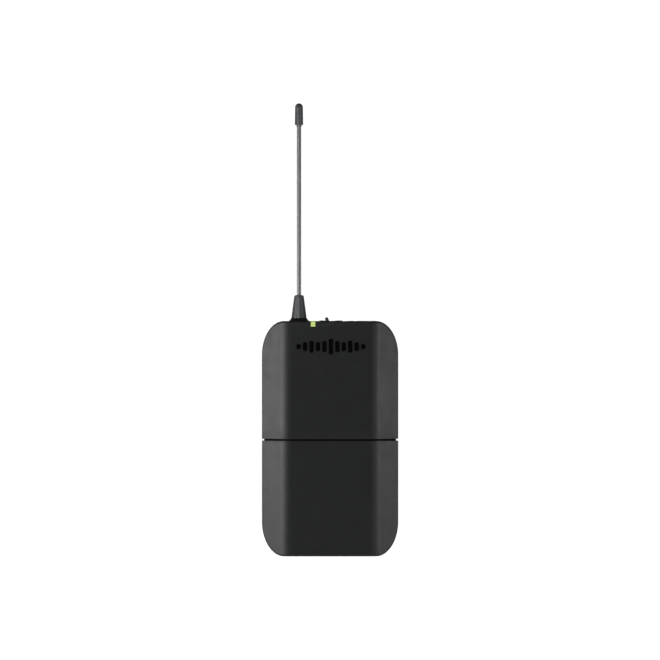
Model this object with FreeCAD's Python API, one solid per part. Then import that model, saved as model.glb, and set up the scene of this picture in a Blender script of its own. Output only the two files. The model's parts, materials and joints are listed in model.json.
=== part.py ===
import FreeCAD, Part
import math
import os

# Wireless bodypack transmitter, in millimetres.
# Frame: +X to the right seen from the front, +Y to the back, +Z up.
# The origin is in the middle of the flat bottom that the case stands on.

V = FreeCAD.Vector
FUZZ = 0.01
X_AXIS = V(1, 0, 0)
Y_AXIS = V(0, 1, 0)
Z_AXIS = V(0, 0, 1)

# Fits, and how far a cutting shape reaches past what it cuts
SLIP = 0.05
FIT = 0.1
REACH = 5.0
WIDE = 40.0

# Case
CASE_W = 64.0
CASE_H = 110.2
CASE_D = 21.0
HALF_W = CASE_W / 2
FRONT_Y = -CASE_D / 2
BACK_Y = CASE_D / 2
WALL = 1.8
CORNER_X = 10.4
CORNER_Z = 15.9
FACET_ANGLE = math.radians(36.0)
FACET_CORNER_X = 20.8
FACET_BLEND_R = 10.0
EDGE_R = 0.9
SEAM_R = 0.15
TOP_TAPER = 0.5
LIP_DEPTH = 0.16
LIP_H = 4.5
LIP_MID_SHARE = 0.4
LIP_MID_DEPTH_SHARE = 0.33
TONGUE_DROP = 1.3
TONGUE_GAP = 0.2
TONGUE_T = 0.8

# Split lines
PART_Y = 1.0
SEAM_Z = 54.5
SEAM_GAP = 0.8
DOOR_TOP = SEAM_Z - SEAM_GAP / 2
UPPER_BOTTOM = SEAM_Z + SEAM_GAP / 2
REAR_STEP = 1.0
REAR_HALF_W = HALF_W - REAR_STEP
REAR_CORNER_R = 5.0
CAP_Z = 106.2
CAP_LAP = 1.5
CAP_LAP_T = 0.8

# Door hinge
HINGE_R = 1.9
HINGE_Y = PART_Y - 0.3 - HINGE_R
HINGE_Z = HINGE_R
HINGE_BLOCK_HALF = 8.0
KNUCKLE_LENGTH = 5.0
HINGE_PIN_R = 0.6
HINGE_RUN = 0.05
HINGE_BLOCK_GAP = 0.25
HINGE_NOSE_T = 0.6
HINGE_NOTCH_T = 1.0
HINGE_NOTCH_TOP = 6.0
HINGE_PIN_INSET = 0.2

# Antenna
ANT_X = -14.6
BOOT_BASE_R = 3.62
BOOT_TOP_R = 2.27
BOOT_Z1 = 122.4
COLLAR_TOP_Z = 111.6
COLLAR_R = 3.72
COLLAR_FOOT_R = 5.0
COLLAR_SLEEVE_R = 3.4
COLLAR_LIP_R = 4.1
COLLAR_BOW_X = 0.5
COLLAR_BOW_Z = 0.6
SLEEVE_DROP = 0.9
STEM_R = 2.4
WHIP_R = 1.03
TIP_Z0 = 202.2
TIP_Z1 = 212.5
TIP_LOW_R = 1.98
TIP_HIGH_R = 1.86
TIP_SOCKET = 7.5
TIP_FOOT_H = 0.2
TIP_NECK_T = 0.15
TIP_NECK_H = 0.9
WHIP_Z0 = CASE_H - 2.0
BOOT_SHOULDER_H = 0.9
BOOT_SHOULDER_W = 0.7
BOOT_BOW_X = 0.18
BOOT_BOW_Z = 0.28
BOOT_STEM_Z0 = CASE_H - 4.0
FERRULE_R = 1.6
FERRULE_TOP = CASE_H - 1.0
FERRULE_BOTTOM = CASE_H - 8.5
FERRULE_RING_R = 2.6
FERRULE_RING_Z = CASE_H - 5.4
FERRULE_RING_H = 1.2
CLIP_STRIP_HALF_W = 1.5
CLIP_STRIP_T = 0.3
CLIP_STRIP_Z = CASE_H - 7.2
CLIP_FOOT_H = 5.0
CLIP_PAD_H = 1.6

# Status light pipe
LED_X = -7.97
LED_W = 2.1
LED_BOTTOM_Z = 107.6
LED_BACK_Y = -5.6
LED_GAP = 0.08
LED_ROUND = 0.7
LED_STUB_INSET = 0.3
LED_STUB_T = 1.6
LED_STUB_DROP = 5.5
PIT_INSET = 0.15
PIT_H = 1.1
PIT_FLOOR_T = 0.3
LED_CHIP_TOP = CASE_H - 5.7
LED_CHIP_HALF = 1.0
LED_CHIP_H = 0.9
LED_CHIP_D = 1.8
LED_RISER_HALF = 1.4
LED_RISER_H = 0.8
LED_RISER_IN = 0.6

# Power switch
SWITCH_X = 0.3
LEVER_LEAN = 23.0
LEVER_PIVOT_X = 0.0
LEVER_PIVOT_Z = 107.4
LEVER_W = 1.5
LEVER_DEPTH = 2.4
LEVER_TIP_Z = 112.0
BEZEL_L = 10.7
BEZEL_W = 5.6
BEZEL_RISE = 0.3
BEZEL_PLUG_L = BEZEL_L - 2.5
BEZEL_PLUG_W = BEZEL_W - 1.7
BEZEL_SADDLE_R = 22.0
BEZEL_SADDLE_RISE = 0.08
BEZEL_SLOT_HALF_L = 3.3
BEZEL_SLOT_HALF_W = 1.5
LEVER_BALL_R = 1.5
LEVER_ROUND = 0.35
SWITCH_HALF_W = 4.6
SWITCH_HALF_D = 2.8
SWITCH_BODY_H = 8.2
SWITCH_TOP = CASE_H - WALL - FIT
SWITCH_FAN_HALF_W = 3.2
SWITCH_LEG_PITCH = 2.5
SWITCH_LEG_HALF_W = 0.3
SWITCH_LEG_Z = SWITCH_TOP - 7.0

# Microphone jack
JACK_X = 15.0
JACK_Y = 0.0
JACK_BORE_R = 4.3
JACK_CHAMBER_R = 4.6
JACK_OUTER_R = 5.2
JACK_BUSH_R = 5.9
JACK_TOP = CASE_H + 0.1
JACK_NUT_R = 6.8
JACK_MOUTH = 3.6
JACK_CHAMFER = 0.06
JACK_DEPTH = 9.0
JACK_PIN_R = 0.5
JACK_PIN_CIRCLE_R = 2.45
JACK_FLANGE_W = 0.7
JACK_BOTTOM = CASE_H - 12.5
JACK_SEAT_STEP = 0.2
JACK_BUSH_H = 1.7
JACK_PIN_TAIL = 3.0
JACK_PIN_SINK = 0.5
JACK_NUT_T = 1.9

# Cells and battery tray
CELL_R = 7.1
CELL_L = 49.2
NUB_R = 2.7
NUB_H = 1.3
CELL_Y = 1.2
CELL_LEFT_X = -17.8
CELL_RIGHT_X = -2.7
CONTACT_T = 0.3
CONTACT_BUTTON_R = 3.0
CONTACT_BUTTON_H = 0.5
SPRING_H = 3.3
SPRING_WIRE_R = 0.4
SPRING_TURNS = 2.5
SPRING_WIDE_R = 4.2
SPRING_SLIM_R = 2.6
TRAY_WALL = 0.9
TRAY_X0 = -26.3
TRAY_X1 = 5.6
TRAY_Z0 = 4.3
TRAY_Z1 = 61.2
TRAY_BACK_Y = BACK_Y - WALL
TRAY_FRONT_Y = -1.5
TRAY_CELL_GAP = 0.2
TRAY_RIDGE_HALF_W = 3.0
TRAY_RIDGE_Y = 2.6
TRAY_FRONT_GAP = 0.4
TRAY_OUTLINE_GAP = 1.2
CONTACT_HALF_W = 5.0
CONTACT_HALF_D = 3.0
BRIDGE_BACK = 1.2
CELL_ROUND = 0.6

# Main board and control panel
BOARD_Y = 5.4
BOARD_T = 1.2
CAN_WALL = 0.2
CAPACITOR_R = 1.6
CAPACITOR_H = 3.6
CAPACITOR_PLACES = ((-22.0, 80.0), (22.5, 75.0), (12.5, 90.0), (-5.0, 97.0))
CHIP_PLACES = ((6.5, 84.0, 7.0), (17.0, 80.0, 5.0), (8.0, 74.5, 4.0))
CHIP_H = 1.0
CHIP_PIN_OUT = 0.8
CHIP_PIN_T = 0.3
CHIP_PIN_HALF_W = 0.2
CAN_X0 = -18.0
CAN_X1 = -1.0
CAN_Z0 = 74.0
CAN_Z1 = 92.0
CAN_H = 2.6
CAN_ROUND = 1.0
BOARD_HALF_W = 27.0
BOARD_Z0 = 69.5
BOARD_Z1 = 102.5
BOARD_NECK_HALF_W = 20.0
BOARD_NECK_Z0 = 63.0
BOARD_LEG_Z0 = 9.5
BOARD_LEG_X0 = 6.6
BOARD_LEG_X1 = 25.5
BOARD_CORNER_X = 24.5
BOARD_CORNER_Z = 97.0
BOARD_HOLE_R = 0.9
BOARD_NOTCH_R = 3.4
PANEL_X0 = 6.0
PANEL_X1 = 26.3
PANEL_Z0 = 8.0
PANEL_Z1 = 52.8
PANEL_Y = -2.6
PANEL_T = 1.2
PANEL_RIM = 0.9
DISPLAY_Z = 43.0
DISPLAY_HALF_W = 6.4
DISPLAY_HALF_H = 4.9
BUTTON_R = 2.45
ROTOR_R = 2.3
GROUP_Z = 29.5
CHANNEL_Z = 21.0
TRIMMER_Z = 13.0
PANEL_MID_X = 15.6
BUTTON_TRAVEL = 0.5
PANEL_SIDE_GAP = 0.5
DISPLAY_GAP = 0.2
DISPLAY_FRONT_Y = -0.6
WINDOW_T = 1.1
WINDOW_ROUND = 0.6
BUTTON_RAISE = 0.9
BUTTON_GAP = 0.2
BUTTON_FLANGE_W = 0.85
BUTTON_FLANGE_T = 0.8
DISH_R = 9.0
DISH_DEPTH = 0.25
TACT_HALF = 3.0
TACT_SEAT_R = 1.7
TACT_SEAT_H = 0.5
TACT_GAP = 0.15
ROTOR_GAP = 0.3
ROTOR_BACK_Y = PANEL_Y + 2.2
ROTOR_SLOT_HALF_W = 0.35
ROTOR_SLOT_HALF_L = 2.0
ROTOR_SLOT_DEPTH = 0.8
SHAFT_R = 0.8
SHAFT_END_Y = PANEL_Y + 5.0
SHAFT_GAP = 0.06
TRIMMER_FRONT_Y = PANEL_Y + 2.5
TRIMMER_HALF_W = 3.3
TRIMMER_HALF_H = 3.2

# Door latches
LATCH_Z0 = 43.0
LATCH_Z1 = 52.0
LATCH_Y0 = 2.9
LATCH_Y1 = 5.5
LATCH_GAP = 0.15
LATCH_FLANGE_T = 0.7
LATCH_RIB_PITCH = 1.6
LATCH_BACK_X = REAR_HALF_W - 2.7
LATCH_LEAF_T = 0.2
LUG_X = HALF_W - 4.55
LUG_T = 1.3
LUG_FRONT_Y = -3.2
LUG_BACK_Y = 2.3
LUG_Z0 = 45.5
LUG_Z1 = 50.5
LUG_WINDOW_MARGIN = 1.0
LUG_WINDOW_Y0 = 1.0
LUG_WINDOW_Y1 = 1.7
LUG_RIB_BACK_Y = 0.4
LUG_RIB_Z0 = 47.2
LUG_RIB_Z1 = 48.8
LUG_RIB_BITE = 0.3
LATCH_RAISE = 0.25
LATCH_BITE = 0.3
LATCH_ROUND = 0.6
LATCH_FLANGE_OVER_Y = 0.3
LATCH_FLANGE_OVER_Z = 0.8
LATCH_RIB_COUNT = 5
LATCH_RIB_FIRST = 1.3
LATCH_RIB_R = 0.4
LATCH_RIB_OUT = 0.2
LATCH_RIB_INSET = 0.5
LATCH_LEAF_W = 2.0
LATCH_LEAF_BOW = 1.35
LATCH_LEAF_INSET = 0.4

# Belt clip
CLIP_T = 0.8
CLIP_GAP = 5.0
CLIP_PIVOT_Y = 6.2
CLIP_PIVOT_Z = 90.0
CLIP_ARM_H = 9.0
CLIP_TONGUE_W = 26.0
CLIP_TONGUE_Z = 24.0
CLIP_SIDE_GAP = 0.1
CLIP_BEND_R = 2.0
CLIP_ROUND = 3.0
CLIP_ARM_Y = PART_Y + 1.6
CLIP_LEAD_H = 9.0
CLIP_LEAD_IN = 3.6
CLIP_LIP_IN = 0.6
CLIP_PIN_R = 1.5
CLIP_PIN_DEPTH = 0.8
CLIP_PIN_OVER = 0.3
CLIP_HOLE_R = 1.6
CLIP_HOLE_DEPTH = 1.1

# Label
LABEL_W = 34.0
LABEL_Z0 = 34.0
LABEL_Z1 = 60.0
LABEL_DEPTH = 0.3
LABEL_ROUND = 1.5
LABEL_GAP = 0.15

# Screws
CASE_SCREW_X = 24.0
CASE_SCREW_ZS = (66.0, 99.0)
SCREW_R = 1.0
SCREW_HEAD_R = 2.0
BOARD_SCREW_HEAD_R = 1.6
BOARD_SCREW_R = 0.65
CASE_BOSS_R = 2.6
CASE_BOSS_Y = -7.6
CASE_PILOT_Y = -6.0
CASE_POST_R = 3.0
CASE_SCREW_HEAD_T = 1.4
CASE_SCREW_L = 13.5
CASE_SCREW_SINK = 0.4
THREAD_BITE = 0.97
PILOT_SHARE = 0.99
SCREW_CLEARANCE = 0.15
HEAD_CLEARANCE = 0.2
BOARD_SCREW_PLACES = ((-22.0, 91.0), (22.0, 91.0), (2.0, 70.0))
BOARD_SCREW_HEAD_T = 1.0
BOARD_SCREW_L = 3.6
BOARD_POST_R = 1.9
BOARD_PILOT_R = 0.69
RECESS_SHARE = 0.55
RECESS_HALF_T = 0.25
RECESS_DEPTH = 0.5


def box(x0, x1, y0, y1, z0, z1):
    return Part.makeBox(x1 - x0, y1 - y0, z1 - z0, V(x0, y0, z0))


def cylinder(radius, x, y, z0, z1):
    return Part.makeCylinder(radius, z1 - z0, V(x, y, z0))


def cylinder_y(radius, x, z, y0, y1):
    return Part.makeCylinder(radius, y1 - y0, V(x, y0, z), Y_AXIS)


def cylinder_x(radius, y, z, x0, x1):
    return Part.makeCylinder(radius, x1 - x0, V(x0, y, z), X_AXIS)


def fuse(shapes):
    solid = shapes[0].multiFuse(list(shapes[1:]))
    return solid.removeSplitter()


def mirror_x(point):
    return V(-point.x, point.y, point.z)


def mirrored(shape):
    return shape.mirror(V(0, 0, 0), X_AXIS)


def rounded_box(x0, x1, y0, y1, z0, z1, radius, axis):
    """A box with its four edges along one axis rounded."""
    block = box(x0, x1, y0, y1, z0, z1)
    edges = []
    for edge in block.Edges:
        direction = edge.tangentAt(edge.FirstParameter)
        if abs(direction.dot(axis)) > 1 - FUZZ:
            edges.append(edge)
    return block.makeFillet(radius, edges)


def front_section(z, inset, lean=0.0):
    """Plan section of the front half: flat front, two blends and two slanted facets.

    inset moves every face inward; lean moves only the front and the facets back.
    """
    front = FRONT_Y + inset + lean
    corner_x = FACET_CORNER_X - inset * math.tan(FACET_ANGLE / 2)
    side = HALF_W - inset
    radius = FACET_BLEND_R - inset
    tangent = radius * math.tan(FACET_ANGLE / 2)
    flat_end = V(corner_x - tangent, front, z)
    blend_x = flat_end.x + radius * math.sin(FACET_ANGLE / 2)
    blend_y = front + radius * (1 - math.cos(FACET_ANGLE / 2))
    blend_mid = V(blend_x, blend_y, z)
    facet_x = corner_x + tangent * math.cos(FACET_ANGLE)
    facet_y = front + tangent * math.sin(FACET_ANGLE)
    facet_start = V(facet_x, facet_y, z)
    facet_end = V(side, front + (side - corner_x) * math.tan(FACET_ANGLE), z)
    back_end = V(side, PART_Y, z)
    edges = [
        Part.makeLine(back_end, facet_end),
        Part.makeLine(facet_end, facet_start),
        Part.Arc(facet_start, blend_mid, flat_end).toShape(),
        Part.makeLine(flat_end, mirror_x(flat_end)),
        Part.Arc(mirror_x(flat_end), mirror_x(blend_mid), mirror_x(facet_start)).toShape(),
        Part.makeLine(mirror_x(facet_start), mirror_x(facet_end)),
        Part.makeLine(mirror_x(facet_end), mirror_x(back_end)),
        Part.makeLine(mirror_x(back_end), back_end),
    ]
    return Part.Wire(edges)


def corner_arc(x, z, side, rise, half_x, half_z, y):
    """A quarter ellipse about (x, z); side and rise are +1 or -1 and choose the quarter."""
    ellipse = Part.Ellipse(V(x, y, z + half_z), V(x + half_x, y, z), V(x, y, z))
    level = ellipse.parameter(V(x + side * half_x, y, z))
    upright = ellipse.parameter(V(x, y, z + rise * half_z))
    low, high = sorted((level, upright))
    if high - low > math.pi:
        low, high = high, low + 2 * math.pi
    return Part.Edge(ellipse, low, high)


def front_outline(inset_x, inset_z, y0, y1):
    """The outline seen from the front, with quarter-ellipse corners, as a prism along Y."""
    side = HALF_W - inset_x
    top = CASE_H - inset_z
    bottom = inset_z
    half_x = CORNER_X - inset_x
    half_z = CORNER_Z - inset_z
    x = side - half_x
    edges = [
        corner_arc(x, top - half_z, 1, 1, half_x, half_z, y0),
        Part.makeLine(V(x, y0, top), V(-x, y0, top)),
        corner_arc(-x, top - half_z, -1, 1, half_x, half_z, y0),
        Part.makeLine(V(-side, y0, top - half_z), V(-side, y0, bottom + half_z)),
        corner_arc(-x, bottom + half_z, -1, -1, half_x, half_z, y0),
        Part.makeLine(V(-x, y0, bottom), V(x, y0, bottom)),
        corner_arc(x, bottom + half_z, 1, -1, half_x, half_z, y0),
        Part.makeLine(V(side, y0, bottom + half_z), V(side, y0, top - half_z)),
    ]
    wire = Part.Wire(Part.__sortEdges__(edges))
    return Part.Face(wire).extrude(V(0, y1 - y0, 0))


def front_prism(z0, z1, inset, top_lean=0.0):
    """The front half section between two heights, leaning back towards the upper one."""
    return Part.makeLoft([front_section(z0, inset), front_section(z1, inset, top_lean)], True, True)


def round_front_rim(solid, z_low, z_high):
    """Round the edge where the front faces meet the outline's side, top and bottom.

    The edges along the split at z_low or z_high stay sharp, and so do the upright
    edges where the facets end.
    """
    edges = []
    for edge in solid.Edges:
        start = edge.valueAt(edge.FirstParameter)
        end = edge.valueAt(edge.LastParameter)
        middle = edge.valueAt((edge.FirstParameter + edge.LastParameter) / 2)
        on_back = max(start.y, end.y, middle.y) > PART_Y - 0.2
        level = abs(start.z - end.z) < FUZZ
        on_low_split = level and z_low > 0 and abs(middle.z - z_low) < FUZZ
        on_high_split = level and z_high < CASE_H and abs(middle.z - z_high) < FUZZ
        if on_back or on_low_split or on_high_split:
            continue
        upright = abs(start.z - end.z) > 2 and abs(abs(start.x) - abs(end.x)) < 1.5
        on_face = upright and abs(middle.x) < HALF_W - 5
        on_side = abs(abs(middle.x) - HALF_W) < 0.6
        on_corner = middle.z < CORNER_Z or middle.z > CASE_H - CORNER_Z
        if (on_side or on_corner) and not on_face:
            edges.append(edge)
    return solid.makeFillet(EDGE_R, edges)


def round_seam(solid, z):
    """Soften the outer edge along the split between the front case and the door."""
    edges = []
    for edge in solid.Edges:
        flat = abs(edge.BoundBox.ZMin - z) < FUZZ and abs(edge.BoundBox.ZMax - z) < FUZZ
        if flat and edge.BoundBox.YMin < PART_Y - FUZZ:
            edges.append(edge)
    return solid.makeFillet(SEAM_R, edges)


def rear_section_prism(inset, y0, z0, z1):
    """The rear half section, with rounded rear corners, as a prism along Z."""
    side = REAR_HALF_W - inset
    back = BACK_Y - inset
    radius = REAR_CORNER_R - inset
    diagonal = radius * (1 - math.sqrt(0.5))
    points = [V(side, y0, z0), V(side, back - radius, z0), V(side - radius, back, z0)]
    middle = V(side - diagonal, back - diagonal, z0)
    edges = [
        Part.makeLine(points[0], points[1]),
        Part.Arc(points[1], middle, points[2]).toShape(),
        Part.makeLine(points[2], mirror_x(points[2])),
        Part.Arc(mirror_x(points[2]), mirror_x(middle), mirror_x(points[1])).toShape(),
        Part.makeLine(mirror_x(points[1]), mirror_x(points[0])),
        Part.makeLine(mirror_x(points[0]), points[0]),
    ]
    return Part.Face(Part.Wire(edges)).extrude(V(0, 0, z1 - z0))


def antenna_collar():
    """The flared ring that the antenna boot stands on, with a sleeve through the top wall."""
    top = V(ANT_X + COLLAR_R, 0, COLLAR_TOP_Z)
    foot = V(ANT_X + COLLAR_FOOT_R, 0, CASE_H)
    bow = V(ANT_X + COLLAR_R + COLLAR_BOW_X, 0, CASE_H + COLLAR_BOW_Z)
    centre_top = V(ANT_X, 0, COLLAR_TOP_Z)
    centre_foot = V(ANT_X, 0, CASE_H)
    edges = [
        Part.makeLine(centre_top, top),
        Part.Arc(top, bow, foot).toShape(),
        Part.makeLine(foot, centre_foot),
        Part.makeLine(centre_foot, centre_top),
    ]
    flare = Part.Face(Part.Wire(edges)).revolve(V(ANT_X, 0, 0), Z_AXIS, 360)
    sleeve_z = CASE_H - WALL - SLEEVE_DROP
    sleeve = cylinder(COLLAR_SLEEVE_R, ANT_X, 0, sleeve_z, CASE_H)
    snap_ring = cylinder(COLLAR_LIP_R, ANT_X, 0, sleeve_z, CASE_H - WALL - SLIP)
    bore = cylinder(STEM_R + SLIP, ANT_X, 0, CASE_H - REACH, COLLAR_TOP_Z + 1)
    return fuse([flare, sleeve, snap_ring]).cut(bore)


def screw_bosses():
    """Posts of the front case that the case screws cut their thread in."""
    posts = []
    for side in (-1, 1):
        for z in CASE_SCREW_ZS:
            posts.append(cylinder_y(CASE_BOSS_R, side * CASE_SCREW_X, z, CASE_BOSS_Y, PART_Y))
    return posts


def front_shell_ring(z0, z1, outside, inside):
    """A thin ring that runs along the inner side of the front walls."""
    outer = front_prism(z0, z1, outside)
    outer = outer.common(front_outline(outside, outside, FRONT_Y - REACH, PART_Y))
    inner = front_prism(z0 - 1, z1 + 1, inside)
    inner = inner.common(front_outline(inside, inside, FRONT_Y - REACH, PART_Y + 1))
    return outer.cut(inner)


def seam_tongue():
    """Lip of the front case that hangs behind the top edge of the door."""
    outside = WALL + TONGUE_GAP
    inside = outside + TONGUE_T
    hanging = front_shell_ring(SEAM_Z - TONGUE_DROP, UPPER_BOTTOM + 1, outside, inside)
    root = front_shell_ring(UPPER_BOTTOM + 2 * TONGUE_GAP, UPPER_BOTTOM + 2, WALL - TONGUE_GAP, inside)
    return fuse([hanging, root])


def front_case():
    lip = Part.makeLoft(
        [
            front_section(UPPER_BOTTOM, 0, LIP_DEPTH),
            front_section(UPPER_BOTTOM + LIP_H * LIP_MID_SHARE, 0, LIP_DEPTH * LIP_MID_DEPTH_SHARE),
            front_section(UPPER_BOTTOM + LIP_H, 0),
        ],
        True,
        False,
    )
    main = front_prism(UPPER_BOTTOM + LIP_H, CASE_H + 1, 0, TOP_TAPER)
    outer = fuse([lip, main]).common(front_outline(0, 0, FRONT_Y - REACH, PART_Y))
    outer = round_front_rim(outer, UPPER_BOTTOM, CASE_H)
    outer = round_seam(outer, UPPER_BOTTOM)
    cap = rear_section_prism(0, PART_Y - 1, CAP_Z, CASE_H + 1)
    cap = cap.common(front_outline(0, 0, PART_Y - 1, BACK_Y + 2))
    inner = front_prism(UPPER_BOTTOM - 1, CASE_H, WALL)
    inner = inner.common(front_outline(WALL, WALL, FRONT_Y - REACH, PART_Y))
    inner_cap = rear_section_prism(WALL, PART_Y - 1, CAP_Z - 1, CASE_H)
    inner_cap = inner_cap.common(front_outline(WALL, WALL, PART_Y - 1, BACK_Y))
    posts = fuse(screw_bosses()).common(outer)
    shell = fuse([outer, cap]).cut(inner).cut(inner_cap)
    shell = fuse([shell, posts, seam_tongue()])
    holes = [
        cylinder(COLLAR_SLEEVE_R + SLIP, ANT_X, 0, CASE_H - REACH, CASE_H + 1),
        cylinder(JACK_BUSH_R + FIT, JACK_X, JACK_Y, CASE_H - REACH, CASE_H + 1),
        box(
            LED_X - LED_W / 2 - LED_GAP,
            LED_X + LED_W / 2 + LED_GAP,
            FRONT_Y - 2,
            LED_BACK_Y + FIT,
            LED_BOTTOM_Z - FIT,
            CASE_H + 1,
        ),
        stadium(SWITCH_X, BEZEL_PLUG_L + FIT, BEZEL_PLUG_W + FIT, CASE_H - REACH, CASE_H + 1),
        light_pipe_notch(),
    ]
    for side in (-1, 1):
        for z in CASE_SCREW_ZS:
            pilot_r = SCREW_R * PILOT_SHARE
            holes.append(cylinder_y(pilot_r, side * CASE_SCREW_X, z, CASE_PILOT_Y, PART_Y + 1))
    return shell.cut(holes)


def light_pipe_notch():
    """A V-shaped pit in the front wall, under the light pipe."""
    half = LED_W / 2 - PIT_INSET
    corners = [
        V(LED_X - half, FRONT_Y - 1, LED_BOTTOM_Z),
        V(LED_X + half, FRONT_Y - 1, LED_BOTTOM_Z),
        V(LED_X, FRONT_Y - 1, LED_BOTTOM_Z - PIT_H),
        V(LED_X - half, FRONT_Y - 1, LED_BOTTOM_Z),
    ]
    return Part.Face(Part.makePolygon(corners)).extrude(V(0, 1 + WALL - PIT_FLOOR_T, 0))


def stadium(x, length, width, z0, z1):
    """An upright prism with a long round-ended outline."""
    half = (length - width) / 2
    shapes = [
        cylinder(width / 2, x - half, 0, z0, z1),
        cylinder(width / 2, x + half, 0, z0, z1),
        box(x - half, x + half, -width / 2, width / 2, z0, z1),
    ]
    return fuse(shapes)


def rear_case():
    """The full-height back shell, a step narrower than the front."""
    outline = front_outline(REAR_STEP, 0, PART_Y, BACK_Y + 1)
    outer = rear_section_prism(0, PART_Y, 0, CAP_Z).common(outline)
    inner = rear_section_prism(WALL, PART_Y - 1, WALL, CAP_Z + 1)
    inner = inner.common(front_outline(REAR_STEP + WALL, WALL, PART_Y - 1, BACK_Y))
    lap = rear_section_prism(WALL, PART_Y, CAP_Z - 2, CAP_Z + CAP_LAP)
    lap = lap.cut(rear_section_prism(WALL + CAP_LAP_T, PART_Y - 1, CAP_Z - 3, CAP_Z + 3))
    lap = lap.common(front_outline(REAR_STEP + WALL, WALL, PART_Y, BACK_Y))
    lap = lap.cut(front_outline(REAR_STEP + WALL + CAP_LAP_T, WALL + CAP_LAP_T, PART_Y - 1, BACK_Y))
    shell = fuse([outer.cut(inner), lap])
    adds = [hinge_block()]
    cuts = []
    for side in (-1, 1):
        for z in CASE_SCREW_ZS:
            x = side * CASE_SCREW_X
            head_y = BACK_Y - CASE_SCREW_SINK - CASE_SCREW_HEAD_T
            adds.append(cylinder_y(CASE_POST_R, x, z, PART_Y, BACK_Y - WALL / 2))
            cuts.append(cylinder_y(SCREW_R + SCREW_CLEARANCE, x, z, 0, BACK_Y + 1))
            cuts.append(cylinder_y(SCREW_HEAD_R + HEAD_CLEARANCE, x, z, head_y, BACK_Y + 1))
    for x, z in BOARD_SCREW_PLACES:
        adds.append(cylinder_y(BOARD_POST_R, x, z, BOARD_Y + BOARD_T, BACK_Y - WALL / 2))
        cuts.append(cylinder_y(BOARD_PILOT_R, x, z, BOARD_Y, BACK_Y - WALL / 2))
    windows = [latch_window(), mirrored(latch_window())]
    hole_x = REAR_HALF_W - CLIP_HOLE_DEPTH
    hole = cylinder_x(CLIP_HOLE_R, CLIP_PIVOT_Y, CLIP_PIVOT_Z, hole_x, REAR_HALF_W + 1)
    cuts += windows + [hole, mirrored(hole), label_recess(0.0)]
    shell = fuse([shell] + adds)
    return shell.cut(cuts)


def hinge_block():
    """Middle block of the rear case that the hinge pin runs through."""
    round_nose = cylinder_x(
        HINGE_R + HINGE_NOSE_T, HINGE_Y, HINGE_Z, -HINGE_BLOCK_HALF, HINGE_BLOCK_HALF
    )
    half = HINGE_BLOCK_HALF
    nose = round_nose.common(box(-half, half, HINGE_Y - 4, HINGE_Y + 4, 0, 2 * HINGE_R))
    foot = box(-half, half, HINGE_Y, PART_Y + WALL, 0, 2 * HINGE_R)
    block = fuse([nose, foot])
    pin_hole = cylinder_x(HINGE_PIN_R + HINGE_RUN, HINGE_Y, HINGE_Z, -half - 1, half + 1)
    return block.cut(pin_hole)


def latch_window():
    return box(
        REAR_HALF_W - WALL - 1, REAR_HALF_W + 1, LATCH_Y0, LATCH_Y1, LATCH_Z0, LATCH_Z1
    )


def label_recess(gap):
    """The shallow place for the label; gap makes it smaller all round."""
    half = LABEL_W / 2 - gap
    z0 = LABEL_Z0 + gap
    z1 = LABEL_Z1 - gap
    return rounded_box(-half, half, BACK_Y - LABEL_DEPTH, BACK_Y + 1, z0, z1, LABEL_ROUND, Y_AXIS)


def rating_label():
    """A blank label, just below the face that its recess is in."""
    return label_recess(LABEL_GAP).common(box(-HALF_W, HALF_W, 0, BACK_Y - SLIP, 0, CASE_H))


def battery_door():
    """The lower front half, with the front part of the bottom and two hinge knuckles."""
    rear_y = HINGE_Y + HINGE_R
    outer = front_prism(-1, DOOR_TOP, 0)
    outer = outer.common(front_outline(0, 0, FRONT_Y - REACH, PART_Y))
    outer = round_front_rim(outer, 0, DOOR_TOP)
    outer = round_seam(outer, DOOR_TOP)
    inner = front_prism(-2, DOOR_TOP + 1, WALL)
    inner = inner.common(front_outline(WALL, WALL, FRONT_Y - REACH, PART_Y))
    keep = fuse(
        [
            box(-WIDE, WIDE, FRONT_Y - REACH, rear_y, HINGE_Z, DOOR_TOP),
            box(-WIDE, WIDE, FRONT_Y - REACH, HINGE_Y, -1, HINGE_Z),
            cylinder_x(HINGE_R, HINGE_Y, HINGE_Z, -WIDE, WIDE),
        ]
    )
    shell = outer.cut(inner).common(keep)
    clear = HINGE_BLOCK_HALF + HINGE_BLOCK_GAP
    notch = cylinder_x(HINGE_R + HINGE_NOTCH_T, HINGE_Y, HINGE_Z, -clear, clear)
    notch = fuse([notch, box(-clear, clear, HINGE_Y, PART_Y + 1, -1, HINGE_NOTCH_TOP)])
    shell = shell.cut(notch)
    knuckle = cylinder_x(HINGE_R, HINGE_Y, HINGE_Z, clear, clear + KNUCKLE_LENGTH)
    lug = door_lug()
    shell = fuse([shell, knuckle, mirrored(knuckle), lug, mirrored(lug)])
    reach = HINGE_BLOCK_HALF + KNUCKLE_LENGTH
    return shell.cut(cylinder_x(HINGE_PIN_R, HINGE_Y, HINGE_Z, -reach, reach))


def door_lug():
    """A tongue with a catch window that reaches back into the rear case."""
    rib_x = HALF_W - WALL + LUG_RIB_BITE
    window_z0 = LUG_Z0 + LUG_WINDOW_MARGIN
    window_z1 = LUG_Z1 - LUG_WINDOW_MARGIN
    x1 = LUG_X + LUG_T
    tongue = box(LUG_X, x1, LUG_FRONT_Y, LUG_BACK_Y, LUG_Z0, LUG_Z1)
    rib = box(LUG_X, rib_x, LUG_FRONT_Y, LUG_RIB_BACK_Y, LUG_RIB_Z0, LUG_RIB_Z1)
    window = box(LUG_X - 1, x1 + 1, LUG_WINDOW_Y0, LUG_WINDOW_Y1, window_z0, window_z1)
    return fuse([tongue, rib]).cut(window)


def door_hinge_pin():
    reach = HINGE_BLOCK_HALF + KNUCKLE_LENGTH - HINGE_PIN_INSET
    return cylinder_x(HINGE_PIN_R, HINGE_Y, HINGE_Z, -reach, reach)


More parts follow.
